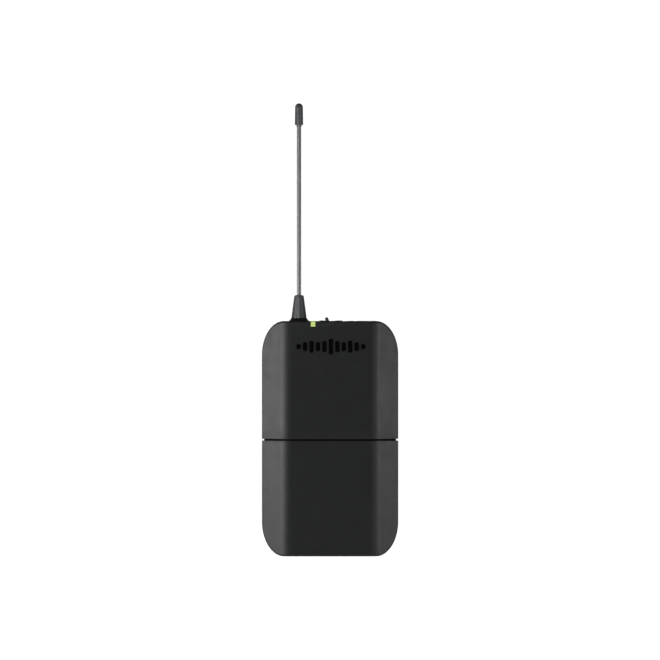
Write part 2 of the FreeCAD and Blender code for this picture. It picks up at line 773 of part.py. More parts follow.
def door_latch(side):
    """A side button that slides inward, with grip ribs and an inner flange."""
    pad = rounded_box(
        REAR_HALF_W - WALL - LATCH_BITE,
        REAR_HALF_W + LATCH_RAISE,
        LATCH_Y0 + LATCH_GAP,
        LATCH_Y1 - LATCH_GAP,
        LATCH_Z0 + LATCH_GAP,
        LATCH_Z1 - LATCH_GAP,
        LATCH_ROUND,
        X_AXIS,
    )
    flange = box(
        LATCH_BACK_X,
        LATCH_BACK_X + LATCH_FLANGE_T,
        LATCH_Y0 - LATCH_FLANGE_OVER_Y,
        LATCH_Y1 + LATCH_FLANGE_OVER_Y,
        LATCH_Z0 - LATCH_FLANGE_OVER_Z,
        LATCH_Z1 + LATCH_FLANGE_OVER_Z,
    )
    y0 = LATCH_Y0 + LATCH_RIB_INSET
    y1 = LATCH_Y1 - LATCH_RIB_INSET
    ribs = []
    for index in range(LATCH_RIB_COUNT):
        z = LATCH_Z0 + LATCH_RIB_FIRST + index * LATCH_RIB_PITCH
        ribs.append(cylinder_y(LATCH_RIB_R, REAR_HALF_W + LATCH_RIB_OUT, z, y0, y1))
    button = fuse([pad, flange] + ribs)
    return button if side > 0 else mirrored(button)


def latch_spring(side):
    """A bowed leaf spring behind a latch button."""
    z0 = LATCH_Z0
    z1 = LATCH_Z1
    middle = (z0 + z1) / 2
    y = LATCH_Y0 + LATCH_LEAF_INSET
    crown = LATCH_BACK_X - FIT
    foot = crown - LATCH_LEAF_BOW
    inner_foot = foot - LATCH_LEAF_T
    inner_crown = crown - LATCH_LEAF_T
    outer = Part.Arc(V(foot, y, z0), V(crown, y, middle), V(foot, y, z1)).toShape()
    inner = Part.Arc(V(inner_foot, y, z1), V(inner_crown, y, middle), V(inner_foot, y, z0)).toShape()
    low = Part.makeLine(V(inner_foot, y, z0), V(foot, y, z0))
    high = Part.makeLine(V(foot, y, z1), V(inner_foot, y, z1))
    leaf = Part.Face(Part.Wire([outer, high, inner, low])).extrude(V(0, LATCH_LEAF_W, 0))
    return leaf if side > 0 else mirrored(leaf)


def antenna_boot():
    """A tapered boot with a rounded shoulder and a stem through the collar."""
    points = [
        V(ANT_X, 0, COLLAR_TOP_Z),
        V(ANT_X + BOOT_BASE_R, 0, COLLAR_TOP_Z),
        V(ANT_X + BOOT_TOP_R + SLIP, 0, BOOT_Z1 - BOOT_SHOULDER_H),
        V(ANT_X + BOOT_TOP_R - BOOT_SHOULDER_W, 0, BOOT_Z1),
        V(ANT_X, 0, BOOT_Z1),
    ]
    bow = V(ANT_X + BOOT_TOP_R - BOOT_BOW_X, 0, BOOT_Z1 - BOOT_BOW_Z)
    edges = [
        Part.makeLine(points[0], points[1]),
        Part.makeLine(points[1], points[2]),
        Part.Arc(points[2], bow, points[3]).toShape(),
        Part.makeLine(points[3], points[4]),
        Part.makeLine(points[4], points[0]),
    ]
    cone = Part.Face(Part.Wire(edges)).revolve(V(ANT_X, 0, 0), Z_AXIS, 360)
    stem = cylinder(STEM_R, ANT_X, 0, BOOT_STEM_Z0, COLLAR_TOP_Z)
    hole = cylinder(WHIP_R, ANT_X, 0, CASE_H - REACH, BOOT_Z1 + REACH)
    socket = cylinder(FERRULE_R, ANT_X, 0, CASE_H - REACH, FERRULE_TOP)
    return fuse([cone, stem]).cut([hole, socket])


def antenna_whip():
    return cylinder(WHIP_R, ANT_X, 0, WHIP_Z0, TIP_Z0 + TIP_SOCKET)


def antenna_tip():
    """A round-ended cap with a short neck, over the end of the whip."""
    ball_z = TIP_Z1 - TIP_HIGH_R
    foot_z = TIP_Z0 + TIP_FOOT_H
    body = Part.makeCone(TIP_LOW_R, TIP_HIGH_R, ball_z - foot_z, V(ANT_X, 0, foot_z))
    foot = Part.makeCone(TIP_LOW_R - TIP_FOOT_H, TIP_LOW_R, TIP_FOOT_H, V(ANT_X, 0, TIP_Z0))
    ball = Part.makeSphere(TIP_HIGH_R, V(ANT_X, 0, ball_z))
    neck = cylinder(WHIP_R + TIP_NECK_T, ANT_X, 0, TIP_Z0 - TIP_NECK_H, foot_z)
    hole = cylinder(WHIP_R, ANT_X, 0, TIP_Z0 - REACH, TIP_Z0 + TIP_SOCKET)
    return fuse([body, foot, ball, neck]).cut(hole)


def antenna_ferrule():
    """Brass stub that the whip is crimped in, under the top wall."""
    body = cylinder(FERRULE_R, ANT_X, 0, FERRULE_BOTTOM, FERRULE_TOP)
    ring = cylinder(FERRULE_RING_R, ANT_X, 0, FERRULE_RING_Z, FERRULE_RING_Z + FERRULE_RING_H)
    hole = cylinder(WHIP_R, ANT_X, 0, WHIP_Z0, CASE_H)
    return fuse([body, ring]).cut(hole)


def antenna_contact_clip():
    """A bent strip from the board to the ferrule."""
    x0 = ANT_X - CLIP_STRIP_HALF_W
    x1 = ANT_X + CLIP_STRIP_HALF_W
    z = CLIP_STRIP_Z
    foot = box(x0, x1, BOARD_Y - CLIP_STRIP_T, BOARD_Y, z - CLIP_FOOT_H, z)
    arm = box(x0, x1, FERRULE_R, BOARD_Y, z, z + CLIP_STRIP_T)
    pad = box(x0, x1, FERRULE_R, FERRULE_R + CLIP_STRIP_T, z, z + CLIP_PAD_H)
    return fuse([foot, arm, pad])


def led_light_pipe():
    """A clear strip set in the top edge, from the top wall down the front."""
    x0 = LED_X - LED_W / 2
    x1 = LED_X + LED_W / 2
    blank = box(x0, x1, FRONT_Y - 1, LED_BACK_Y, LED_BOTTOM_Z, CASE_H + SLIP)
    skin = front_prism(UPPER_BOTTOM + LIP_H, CASE_H + 1, 0, TOP_TAPER)
    bar = blank.common(skin)
    edges = []
    for edge in bar.Edges:
        middle = edge.valueAt((edge.FirstParameter + edge.LastParameter) / 2)
        if middle.y < FRONT_Y + 1 and middle.z > CASE_H - 0.2:
            edges.append(edge)
    bar = bar.makeFillet(LED_ROUND, edges)
    inset = LED_STUB_INSET
    stub_y = LED_BACK_Y - LED_STUB_T
    stub = box(x0 + inset, x1 - inset, stub_y, LED_BACK_Y, CASE_H - LED_STUB_DROP, LED_BOTTOM_Z)
    return fuse([bar, stub])


def status_led():
    """A small chip LED on a riser under the light pipe."""
    half = LED_CHIP_HALF
    wide = LED_RISER_HALF
    foot = LED_CHIP_TOP - LED_CHIP_H
    chip_y = LED_BACK_Y - LED_CHIP_D
    riser_y = LED_BACK_Y - LED_RISER_IN
    chip = box(LED_X - half, LED_X + half, chip_y, LED_BACK_Y + 2 * FIT, foot, LED_CHIP_TOP)
    riser = box(LED_X - wide, LED_X + wide, riser_y, BOARD_Y, foot - LED_RISER_H, foot)
    return fuse([chip, riser])


def switch_bezel():
    """An oval rim set in the top wall, high at its two ends, with the lever's slot."""
    top = CASE_H + BEZEL_RISE
    rim = stadium(SWITCH_X, BEZEL_L, BEZEL_W, CASE_H, top)
    plug = stadium(SWITCH_X, BEZEL_PLUG_L, BEZEL_PLUG_W, CASE_H - WALL, CASE_H)
    saddle_z = CASE_H + BEZEL_SADDLE_R + BEZEL_SADDLE_RISE
    saddle = cylinder_y(BEZEL_SADDLE_R, SWITCH_X, saddle_z, -REACH, REACH)
    half = BEZEL_SLOT_HALF_L
    wide = BEZEL_SLOT_HALF_W
    slot = box(SWITCH_X - half, SWITCH_X + half, -wide, wide, CASE_H - REACH, CASE_H + REACH)
    return fuse([rim, plug]).cut([saddle, slot])


def power_lever():
    """The toggle, leaning to the left at rest, with a ball at its pivot."""
    reach = LEVER_TIP_Z - LEVER_PIVOT_Z + LEVER_ROUND
    half = LEVER_W / 2
    deep = LEVER_DEPTH / 2
    stem = rounded_box(-half, half, -deep, deep, 0, reach - half, LEVER_ROUND, Z_AXIS)
    tip = cylinder_y(half, 0, reach - half, -deep + FIT, deep - FIT)
    ball = cylinder_y(LEVER_BALL_R, 0, 0, -deep, deep)
    lever = fuse([stem, tip, ball])
    lever.rotate(V(0, 0, 0), Y_AXIS, -LEVER_LEAN)
    lever.translate(V(LEVER_PIVOT_X, 0, LEVER_PIVOT_Z))
    return lever


def power_switch_body():
    """The box under the lever, with a cradle for its ball and legs to the board."""
    half = SWITCH_HALF_W
    deep = SWITCH_HALF_D
    fan_half = SWITCH_FAN_HALF_W
    slot = BEZEL_SLOT_HALF_W
    leg = SWITCH_LEG_HALF_W
    body = box(-half, half, -deep, deep, SWITCH_TOP - SWITCH_BODY_H, SWITCH_TOP)
    cradle_r = LEVER_BALL_R + 3 * FIT
    cradle = cylinder_y(cradle_r, LEVER_PIVOT_X, LEVER_PIVOT_Z, -slot, slot)
    fan = box(-fan_half, fan_half, -slot, slot, LEVER_PIVOT_Z - 3 * FIT, SWITCH_TOP + 1)
    legs = []
    for index in range(3):
        x = (index - 1) * SWITCH_LEG_PITCH
        legs.append(box(x - leg, x + leg, deep, BOARD_Y, SWITCH_LEG_Z, SWITCH_LEG_Z + 2 * leg))
    return fuse([body.cut([cradle, fan])] + legs)


def mic_jack_shell():
    """Metal shell of the four-pin jack, with a flange on the top wall and a threaded body."""
    top = JACK_TOP
    flange = cylinder(JACK_BUSH_R + JACK_FLANGE_W, JACK_X, JACK_Y, CASE_H, top)
    barrel = cylinder(JACK_OUTER_R, JACK_X, JACK_Y, JACK_BOTTOM, CASE_H)
    bush = cylinder(JACK_BUSH_R, JACK_X, JACK_Y, CASE_H - JACK_BUSH_H, CASE_H)
    step_z = top - JACK_CHAMFER - JACK_MOUTH
    mouth = cylinder(JACK_BORE_R, JACK_X, JACK_Y, step_z, top + 1)
    chamber = cylinder(JACK_CHAMBER_R, JACK_X, JACK_Y, CASE_H - JACK_DEPTH, step_z)
    seat = cylinder(JACK_BORE_R - JACK_SEAT_STEP, JACK_X, JACK_Y, JACK_BOTTOM - 1, CASE_H)
    shell = fuse([flange, barrel, bush]).cut([mouth, chamber, seat])
    edges = []
    for edge in shell.Edges:
        middle = edge.BoundBox.Center
        if abs(edge.BoundBox.ZMax - top) < FUZZ and middle.z > CASE_H:
            edges.append(edge)
    return shell.makeChamfer(JACK_CHAMFER, edges)


def mic_jack_insert():
    """The insulator that holds the four contacts."""
    seat_r = JACK_BORE_R - JACK_SEAT_STEP
    body = cylinder(seat_r, JACK_X, JACK_Y, JACK_BOTTOM, CASE_H - JACK_DEPTH)
    holes = []
    for x, y in jack_pin_places():
        holes.append(cylinder(JACK_PIN_R, x, y, JACK_BOTTOM - REACH, CASE_H))
    return body.cut(holes)


def jack_pin_places():
    places = []
    for index in range(4):
        angle = math.radians(45 + 90 * index)
        x = JACK_X + JACK_PIN_CIRCLE_R * math.cos(angle)
        y = JACK_Y + JACK_PIN_CIRCLE_R * math.sin(angle)
        places.append((x, y))
    return places


def mic_jack_contacts():
    """Four round contacts with domed tips."""
    tip_z = CASE_H - JACK_MOUTH - JACK_PIN_SINK - JACK_PIN_R
    pins = []
    for x, y in jack_pin_places():
        pin = cylinder(JACK_PIN_R, x, y, JACK_BOTTOM - JACK_PIN_TAIL, tip_z)
        pins.append(fuse([pin, Part.makeSphere(JACK_PIN_R, V(x, y, tip_z))]))
    return Part.makeCompound(pins)


def mic_jack_nut():
    """A hexagonal nut under the top wall."""
    top = CASE_H - WALL - FIT
    points = []
    for index in range(7):
        angle = math.radians(60 * index)
        x = JACK_X + JACK_NUT_R * math.cos(angle)
        points.append(V(x, JACK_Y + JACK_NUT_R * math.sin(angle), top - JACK_NUT_T))
    nut = Part.Face(Part.makePolygon(points)).extrude(V(0, 0, JACK_NUT_T))
    return nut.cut(cylinder(JACK_OUTER_R, JACK_X, JACK_Y, JACK_BOTTOM, CASE_H))


def main_board():
    """An L-shaped board: the radio part on top, a leg behind the control panel."""
    half = BOARD_HALF_W
    neck_half = BOARD_NECK_HALF_W
    back = BOARD_Y + BOARD_T
    upper = box(-half, half, BOARD_Y, back, BOARD_Z0, BOARD_Z1)
    neck = box(-neck_half, neck_half, BOARD_Y, back, BOARD_NECK_Z0, BOARD_Z0 + 1)
    leg = box(BOARD_LEG_X0, BOARD_LEG_X1, BOARD_Y, back, BOARD_LEG_Z0, BOARD_NECK_Z0 + 1)
    cuts = []
    for x, z in BOARD_SCREW_PLACES:
        cuts.append(cylinder_y(BOARD_HOLE_R, x, z, 0, BACK_Y))
    for side in (-1, 1):
        for z in CASE_SCREW_ZS:
            cuts.append(cylinder_y(BOARD_NOTCH_R, side * CASE_SCREW_X, z, 0, BACK_Y))
    corner = box(-half - 1, -BOARD_CORNER_X, 0, BACK_Y, BOARD_CORNER_Z, CASE_H)
    cuts += [corner, mirrored(corner)]
    return fuse([upper, neck, leg]).cut(cuts)


def rf_shield_can():
    """A pressed cover over the radio part, open towards the board."""
    front = BOARD_Y - CAN_H
    wall = CAN_WALL
    can = rounded_box(CAN_X0, CAN_X1, front, BOARD_Y, CAN_Z0, CAN_Z1, CAN_ROUND, Y_AXIS)
    x0 = CAN_X0 + wall
    x1 = CAN_X1 - wall
    return can.cut(box(x0, x1, front + wall, BOARD_Y + 1, CAN_Z0 + wall, CAN_Z1 - wall))


def main_chips():
    """Flat packages with a row of pins along two sides."""
    chips = []
    pin = CHIP_PIN_HALF_W
    for x, z, size in CHIP_PLACES:
        half = size / 2
        reach = half + CHIP_PIN_OUT
        body = box(x - half, x + half, BOARD_Y - CHIP_H, BOARD_Y - FIT, z - half, z + half)
        parts = [body]
        count = int(size)
        for index in range(count):
            zp = z - half + (index + 0.5) * size / count
            parts.append(box(x - reach, x + reach, BOARD_Y - CHIP_PIN_T, BOARD_Y, zp - pin, zp + pin))
        chips.append(fuse(parts))
    return Part.makeCompound(chips)


def capacitors():
    cans = []
    for x, z in CAPACITOR_PLACES:
        cans.append(cylinder_y(CAPACITOR_R, x, z, BOARD_Y - CAPACITOR_H, BOARD_Y))
    return Part.makeCompound(cans)


def screw(x, z, head_y, head_r, head_t, shank_r, shank_l):
    """A pan-head screw along -Y from its head, with a cross recess."""
    head = cylinder_y(head_r, x, z, head_y - head_t, head_y)
    shank = cylinder_y(shank_r, x, z, head_y - head_t - shank_l, head_y - head_t)
    half = head_r * RECESS_SHARE
    thin = RECESS_HALF_T
    bottom = head_y - RECESS_DEPTH
    slot = box(x - half, x + half, bottom, head_y + 1, z - thin, z + thin)
    cross = box(x - thin, x + thin, bottom, head_y + 1, z - half, z + half)
    return fuse([head, shank]).cut([slot, cross])


def case_screws():
    seat = BACK_Y - CASE_SCREW_SINK
    shank_r = SCREW_R * THREAD_BITE
    screws = []
    for side in (-1, 1):
        for z in CASE_SCREW_ZS:
            x = side * CASE_SCREW_X
            screws.append(screw(x, z, seat, SCREW_HEAD_R, CASE_SCREW_HEAD_T, shank_r, CASE_SCREW_L))
    return Part.makeCompound(screws)


def board_screws():
    """Three screws that hold the board to the rear case from the front."""
    screws = []
    head_t = BOARD_SCREW_HEAD_T
    for x, z in BOARD_SCREW_PLACES:
        one = screw(x, z, head_t, BOARD_SCREW_HEAD_R, head_t, BOARD_SCREW_R, BOARD_SCREW_L)
        one.rotate(V(x, 0, z), Z_AXIS, 180)
        one.translate(V(0, BOARD_Y, 0))
        screws.append(one)
    return Part.makeCompound(screws)


def control_panel():
    """Moulded plate with side walls that frames the display, buttons and trimmer."""
    plate = box(PANEL_X0, PANEL_X1, PANEL_Y, PANEL_Y + PANEL_T, PANEL_Z0, PANEL_Z1)
    walls = box(PANEL_X0, PANEL_X1, PANEL_Y, BOARD_Y, PANEL_Z0, PANEL_Z1)
    rim = PANEL_RIM
    hollow = box(PANEL_X0 + rim, PANEL_X1 - rim, PANEL_Y - 1, BOARD_Y + 1, PANEL_Z0 - 1, PANEL_Z1 + 1)
    shapes = fuse([plate, walls.cut(hollow)])
    inset = WALL + PANEL_SIDE_GAP
    slant = front_prism(-1, CASE_H, inset)
    slant = slant.common(front_outline(inset, inset, FRONT_Y - REACH, PART_Y))
    rear_room = rear_section_prism(WALL, PART_Y, 0, CASE_H)
    rear_room = rear_room.common(front_outline(REAR_STEP + WALL, WALL, PART_Y, BACK_Y))
    shapes = shapes.common(fuse([slant, rear_room]))
    x0 = PANEL_MID_X - DISPLAY_HALF_W - DISPLAY_GAP
    x1 = PANEL_MID_X + DISPLAY_HALF_W + DISPLAY_GAP
    z0 = DISPLAY_Z - DISPLAY_HALF_H - DISPLAY_GAP
    z1 = DISPLAY_Z + DISPLAY_HALF_H + DISPLAY_GAP
    display = box(x0, x1, -REACH, REACH, z0, z1)
    cuts = [display, cylinder_y(ROTOR_R + ROTOR_GAP, PANEL_MID_X, TRIMMER_Z, -REACH, REACH)]
    for z in (GROUP_Z, CHANNEL_Z):
        cuts.append(cylinder_y(BUTTON_R + BUTTON_GAP, PANEL_MID_X, z, -REACH, REACH))
    return shapes.cut(cuts)


def display_module():
    """Two-digit display block on the board."""
    x0 = PANEL_MID_X - DISPLAY_HALF_W
    x1 = PANEL_MID_X + DISPLAY_HALF_W
    z0 = DISPLAY_Z - DISPLAY_HALF_H
    z1 = DISPLAY_Z + DISPLAY_HALF_H
    return box(x0, x1, DISPLAY_FRONT_Y, BOARD_Y, z0, z1)


def display_window():
    half_w = DISPLAY_HALF_W + FIT
    half_h = DISPLAY_HALF_H + FIT
    return rounded_box(
        PANEL_MID_X - half_w,
        PANEL_MID_X + half_w,
        PANEL_Y - FIT,
        PANEL_Y - FIT + WINDOW_T,
        DISPLAY_Z - half_h,
        DISPLAY_Z + half_h,
        WINDOW_ROUND,
        Y_AXIS,
    )


def panel_button(z):
    """A round button cap with a flange behind the panel and a dished face."""
    back = PANEL_Y + PANEL_T
    face = PANEL_Y - BUTTON_RAISE
    flange_y = back + FIT
    cap = cylinder_y(BUTTON_R, PANEL_MID_X, z, face, flange_y + FIT)
    flange_r = BUTTON_R + BUTTON_FLANGE_W
    flange = cylinder_y(flange_r, PANEL_MID_X, z, flange_y, flange_y + BUTTON_FLANGE_T)
    dish = Part.makeSphere(DISH_R, V(PANEL_MID_X, face - DISH_R + DISH_DEPTH, z))
    return fuse([cap, flange]).cut(dish)


def tactile_switch(z):
    """A square switch body with a metal-look frame and a plunger seat."""
    button_back = PANEL_Y + PANEL_T + FIT + BUTTON_FLANGE_T
    front = button_back + BUTTON_TRAVEL + TACT_GAP
    body_y = front + TACT_SEAT_H
    x0 = PANEL_MID_X - TACT_HALF
    x1 = PANEL_MID_X + TACT_HALF
    body = box(x0, x1, body_y, BOARD_Y, z - TACT_HALF, z + TACT_HALF)
    seat = cylinder_y(TACT_SEAT_R, PANEL_MID_X, z, front, body_y)
    return fuse([body, seat])


def gain_trimmer():
    """A rotor with a screwdriver slot and a short shaft into its body."""
    face = PANEL_Y + FIT
    rotor = cylinder_y(ROTOR_R, PANEL_MID_X, TRIMMER_Z, face, ROTOR_BACK_Y)
    shaft = cylinder_y(SHAFT_R, PANEL_MID_X, TRIMMER_Z, ROTOR_BACK_Y, SHAFT_END_Y)
    x0 = PANEL_MID_X - ROTOR_SLOT_HALF_W
    x1 = PANEL_MID_X + ROTOR_SLOT_HALF_W
    z0 = TRIMMER_Z - ROTOR_SLOT_HALF_L
    z1 = TRIMMER_Z + ROTOR_SLOT_HALF_L
    slot = box(x0, x1, face - 1, face + ROTOR_SLOT_DEPTH, z0, z1)
    return fuse([rotor, shaft]).cut(slot)


def gain_trimmer_body():
    x0 = PANEL_MID_X - TRIMMER_HALF_W
    x1 = PANEL_MID_X + TRIMMER_HALF_W
    z0 = TRIMMER_Z - TRIMMER_HALF_H
    z1 = TRIMMER_Z + TRIMMER_HALF_H
    body = box(x0, x1, TRIMMER_FRONT_Y, BOARD_Y, z0, z1)
    hole_end = SHAFT_END_Y + 2 * FIT
    return body.cut(cylinder_y(SHAFT_R + SHAFT_GAP, PANEL_MID_X, TRIMMER_Z, PANEL_Y, hole_end))


def cell_places():
    return (CELL_LEFT_X, CELL_RIGHT_X)


def battery_tray():
    """Two open troughs with end walls for the contacts."""
    block = box(TRAY_X0, TRAY_X1, TRAY_FRONT_Y, TRAY_BACK_Y, TRAY_Z0, TRAY_Z1)
    room = TRAY_WALL
    hollow = box(TRAY_X0 + room, TRAY_X1 - room, TRAY_FRONT_Y - 1, CELL_Y, TRAY_Z0 + room, TRAY_Z1 - room)
    cuts = [hollow]
    for x in cell_places():
        cuts.append(cylinder(CELL_R + TRAY_CELL_GAP, x, CELL_Y, TRAY_Z0 + room, TRAY_Z1 - room))
    middle = (CELL_LEFT_X + CELL_RIGHT_X) / 2
    x0 = middle - TRAY_RIDGE_HALF_W
    x1 = middle + TRAY_RIDGE_HALF_W
    cuts.append(box(x0, x1, TRAY_FRONT_Y - 1, TRAY_RIDGE_Y, TRAY_Z0 + room, TRAY_Z1 - room))
    corner_room = rear_section_prism(WALL, PART_Y, 0, CASE_H)
    corner_room = corner_room.common(front_outline(REAR_STEP + WALL, WALL, PART_Y, BACK_Y))
    front_room = front_prism(-1, CASE_H, WALL + TRAY_FRONT_GAP)
    inset = WALL + TRAY_OUTLINE_GAP
    front_room = front_room.common(front_outline(inset, inset, FRONT_Y - REACH, PART_Y))
    return block.cut(cuts).common(fuse([corner_room, front_room]))


def coil_spring(x, z0, z1, low_r, high_r):
    """A conical battery spring of round wire."""
    rise = z1 - z0 - 2 * SPRING_WIRE_R
    angle = math.degrees(math.atan2(high_r - low_r, rise))
    helix = Part.makeHelix(rise / SPRING_TURNS, rise, low_r, angle)
    start = helix.Edges[0].valueAt(helix.Edges[0].FirstParameter)
    tangent = helix.Edges[0].tangentAt(helix.Edges[0].FirstParameter)
    ring = Part.Wire(Part.makeCircle(SPRING_WIRE_R, start, tangent))
    coil = Part.Wire(helix.Edges).makePipeShell([ring], True, True)
    coil.translate(V(x, CELL_Y, z0 + SPRING_WIRE_R))
    return coil


def battery_spring_left():
    """Under the left cell's flat end."""
    z0 = TRAY_Z0 + TRAY_WALL + CONTACT_T
    return coil_spring(CELL_LEFT_X, z0, left_cell_bottom() - SLIP, SPRING_WIDE_R, SPRING_SLIM_R)


def battery_spring_right():
    """Over the right cell's flat end."""
    z0 = right_cell_bottom() + NUB_H + CELL_L + SLIP
    z1 = TRAY_Z1 - TRAY_WALL - CONTACT_T
    return coil_spring(CELL_RIGHT_X, z0, z1, SPRING_SLIM_R, SPRING_WIDE_R)


def bridge_contact():
    """Bottom strip that joins the two cells, with a button for the right one."""
    z0 = TRAY_Z0 + TRAY_WALL
    z1 = z0 + CONTACT_T
    x0 = CELL_LEFT_X - CONTACT_HALF_W
    x1 = CELL_RIGHT_X + CONTACT_HALF_W
    strip = box(x0, x1, CELL_Y - CONTACT_HALF_D, CELL_Y + BRIDGE_BACK, z0, z1)
    button = cylinder(CONTACT_BUTTON_R, CELL_RIGHT_X, CELL_Y, z1, right_cell_bottom())
    return fuse([strip, button])


def top_contact(x, with_button):
    """Top plate of one cell, with a raised button if the cell's nub is at the top."""
    z1 = TRAY_Z1 - TRAY_WALL
    z0 = z1 - CONTACT_T
    half = CONTACT_HALF_W
    deep = CONTACT_HALF_D
    plate = box(x - half, x + half, CELL_Y - deep, CELL_Y + deep, z0, z1)
    shapes = [plate]
    if with_button:
        nub_top = left_cell_bottom() + CELL_L + NUB_H
        shapes.append(cylinder(CONTACT_BUTTON_R, x, CELL_Y, nub_top, z0))
    return fuse(shapes)


def left_cell_bottom():
    return TRAY_Z0 + TRAY_WALL + CONTACT_T + SPRING_H


def right_cell_bottom():
    return TRAY_Z0 + TRAY_WALL + CONTACT_T + CONTACT_BUTTON_H


def aa_cell(x, z_low, nub_up):
    """A cell with a rolled edge at both ends and a nub on one."""
    z0 = z_low if nub_up else z_low + NUB_H
    body = cylinder(CELL_R, x, CELL_Y, z0, z0 + CELL_L)
    rims = []
    for edge in body.Edges:
        if edge.BoundBox.ZLength < FUZZ:
            rims.append(edge)
    body = body.makeFillet(CELL_ROUND, rims)
    if nub_up:
        nub = cylinder(NUB_R, x, CELL_Y, z0 + CELL_L, z0 + CELL_L + NUB_H)
    else:
        nub = cylinder(NUB_R, x, CELL_Y, z0 - NUB_H, z0)
    return fuse([body, nub])


def belt_clip():
    """One piece of bent spring steel: two side arms, a cross bar and a long tongue."""
    outer_x = REAR_HALF_W + CLIP_SIDE_GAP + CLIP_T
    bar_y = BACK_Y + CLIP_GAP
    z0 = CLIP_PIVOT_Z - CLIP_ARM_H / 2
    z1 = CLIP_PIVOT_Z + CLIP_ARM_H / 2
    bar_back = bar_y + CLIP_T
    inner_x = outer_x - CLIP_T
    bend_out = CLIP_BEND_R + CLIP_T
    saddle = rounded_box(-outer_x, outer_x, -WIDE, bar_back, z0, z1, bend_out, Z_AXIS)
    hollow = rounded_box(-inner_x, inner_x, -WIDE - 1, bar_y, z0 - 1, z1 + 1, CLIP_BEND_R, Z_AXIS)
    arm_ends = rounded_box(-WIDE, WIDE, CLIP_ARM_Y, WIDE, z0, z1, CLIP_ROUND, X_AXIS)
    saddle = saddle.cut(hollow).common(arm_ends)
    half = CLIP_TONGUE_W / 2
    lead_z = CLIP_TONGUE_Z + CLIP_LEAD_H
    tip_y = bar_y - CLIP_LEAD_IN
    lip_y = bar_y - CLIP_LIP_IN
    profile = [
        V(-half, bar_y, z0 + 1),
        V(-half, bar_back, z0 + 1),
        V(-half, bar_back, z0 - 4),
        V(-half, tip_y + CLIP_T, lead_z),
        V(-half, lip_y + CLIP_T, CLIP_TONGUE_Z),
        V(-half, lip_y, CLIP_TONGUE_Z),
        V(-half, tip_y, lead_z),
        V(-half, bar_y, z0 - 4),
        V(-half, bar_y, z0 + 1),
    ]
    tongue = Part.Face(Part.makePolygon(profile)).extrude(V(CLIP_TONGUE_W, 0, 0))
    tongue = tongue.common(rounded_box(-half, half, 0, WIDE, CLIP_TONGUE_Z, z1 + 3, CLIP_ROUND, Y_AXIS))
    pin_x0 = REAR_HALF_W - CLIP_PIN_DEPTH
    pin_x1 = REAR_HALF_W + CLIP_PIN_OVER
    pin = cylinder_x(CLIP_PIN_R, CLIP_PIVOT_Y, CLIP_PIVOT_Z, pin_x0, pin_x1)
    return fuse([saddle, tongue, pin, mirrored(pin)])


def export_all():
    nodes = {
        "front_case": front_case(),
        "rear_case": rear_case(),
        "rating_label": rating_label(),
        "battery_door": battery_door(),
        "door_hinge_pin": door_hinge_pin(),
        "door_latch_left": door_latch(-1),
        "door_latch_right": door_latch(1),
        "latch_spring_left": latch_spring(-1),
        "latch_spring_right": latch_spring(1),
        "antenna_collar": antenna_collar(),
        "antenna_boot": antenna_boot(),
        "antenna_whip": antenna_whip(),
        "antenna_tip": antenna_tip(),
        "antenna_ferrule": antenna_ferrule(),
        "antenna_contact_clip": antenna_contact_clip(),
        "led_light_pipe": led_light_pipe(),
        "status_led": status_led(),
        "switch_bezel": switch_bezel(),
        "power_lever": power_lever(),
        "power_switch_body": power_switch_body(),
        "mic_jack_shell": mic_jack_shell(),
        "mic_jack_insert": mic_jack_insert(),
        "mic_jack_contacts": mic_jack_contacts(),
        "mic_jack_nut": mic_jack_nut(),
        "main_board": main_board(),
        "rf_shield_can": rf_shield_can(),
        "main_chips": main_chips(),
        "capacitors": capacitors(),
        "board_screws": board_screws(),
        "case_screws": case_screws(),
        "control_panel": control_panel(),
        "display_module": display_module(),
        "display_window": display_window(),
        "group_button": panel_button(GROUP_Z),
        "channel_button": panel_button(CHANNEL_Z),
        "group_switch": tactile_switch(GROUP_Z),
        "channel_switch": tactile_switch(CHANNEL_Z),
        "gain_trimmer": gain_trimmer(),
        "gain_trimmer_body": gain_trimmer_body(),
        "battery_tray": battery_tray(),
        "battery_spring_left": battery_spring_left(),
        "battery_spring_right": battery_spring_right(),
        "bridge_contact": bridge_contact(),
        "positive_contact": top_contact(CELL_LEFT_X, True),
        "negative_contact": top_contact(CELL_RIGHT_X, False),
        "cell_left": aa_cell(CELL_LEFT_X, left_cell_bottom(), True),
        "cell_right": aa_cell(CELL_RIGHT_X, right_cell_bottom(), False),
        "belt_clip": belt_clip(),
    }
    os.makedirs("parts", exist_ok=True)
    for name, shape in nodes.items():
        shape.exportStep("parts/" + name + ".step")
        print(name, shape.isValid(), len(shape.Solids), round(shape.Volume, 1))


export_all()
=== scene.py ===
import json
import math

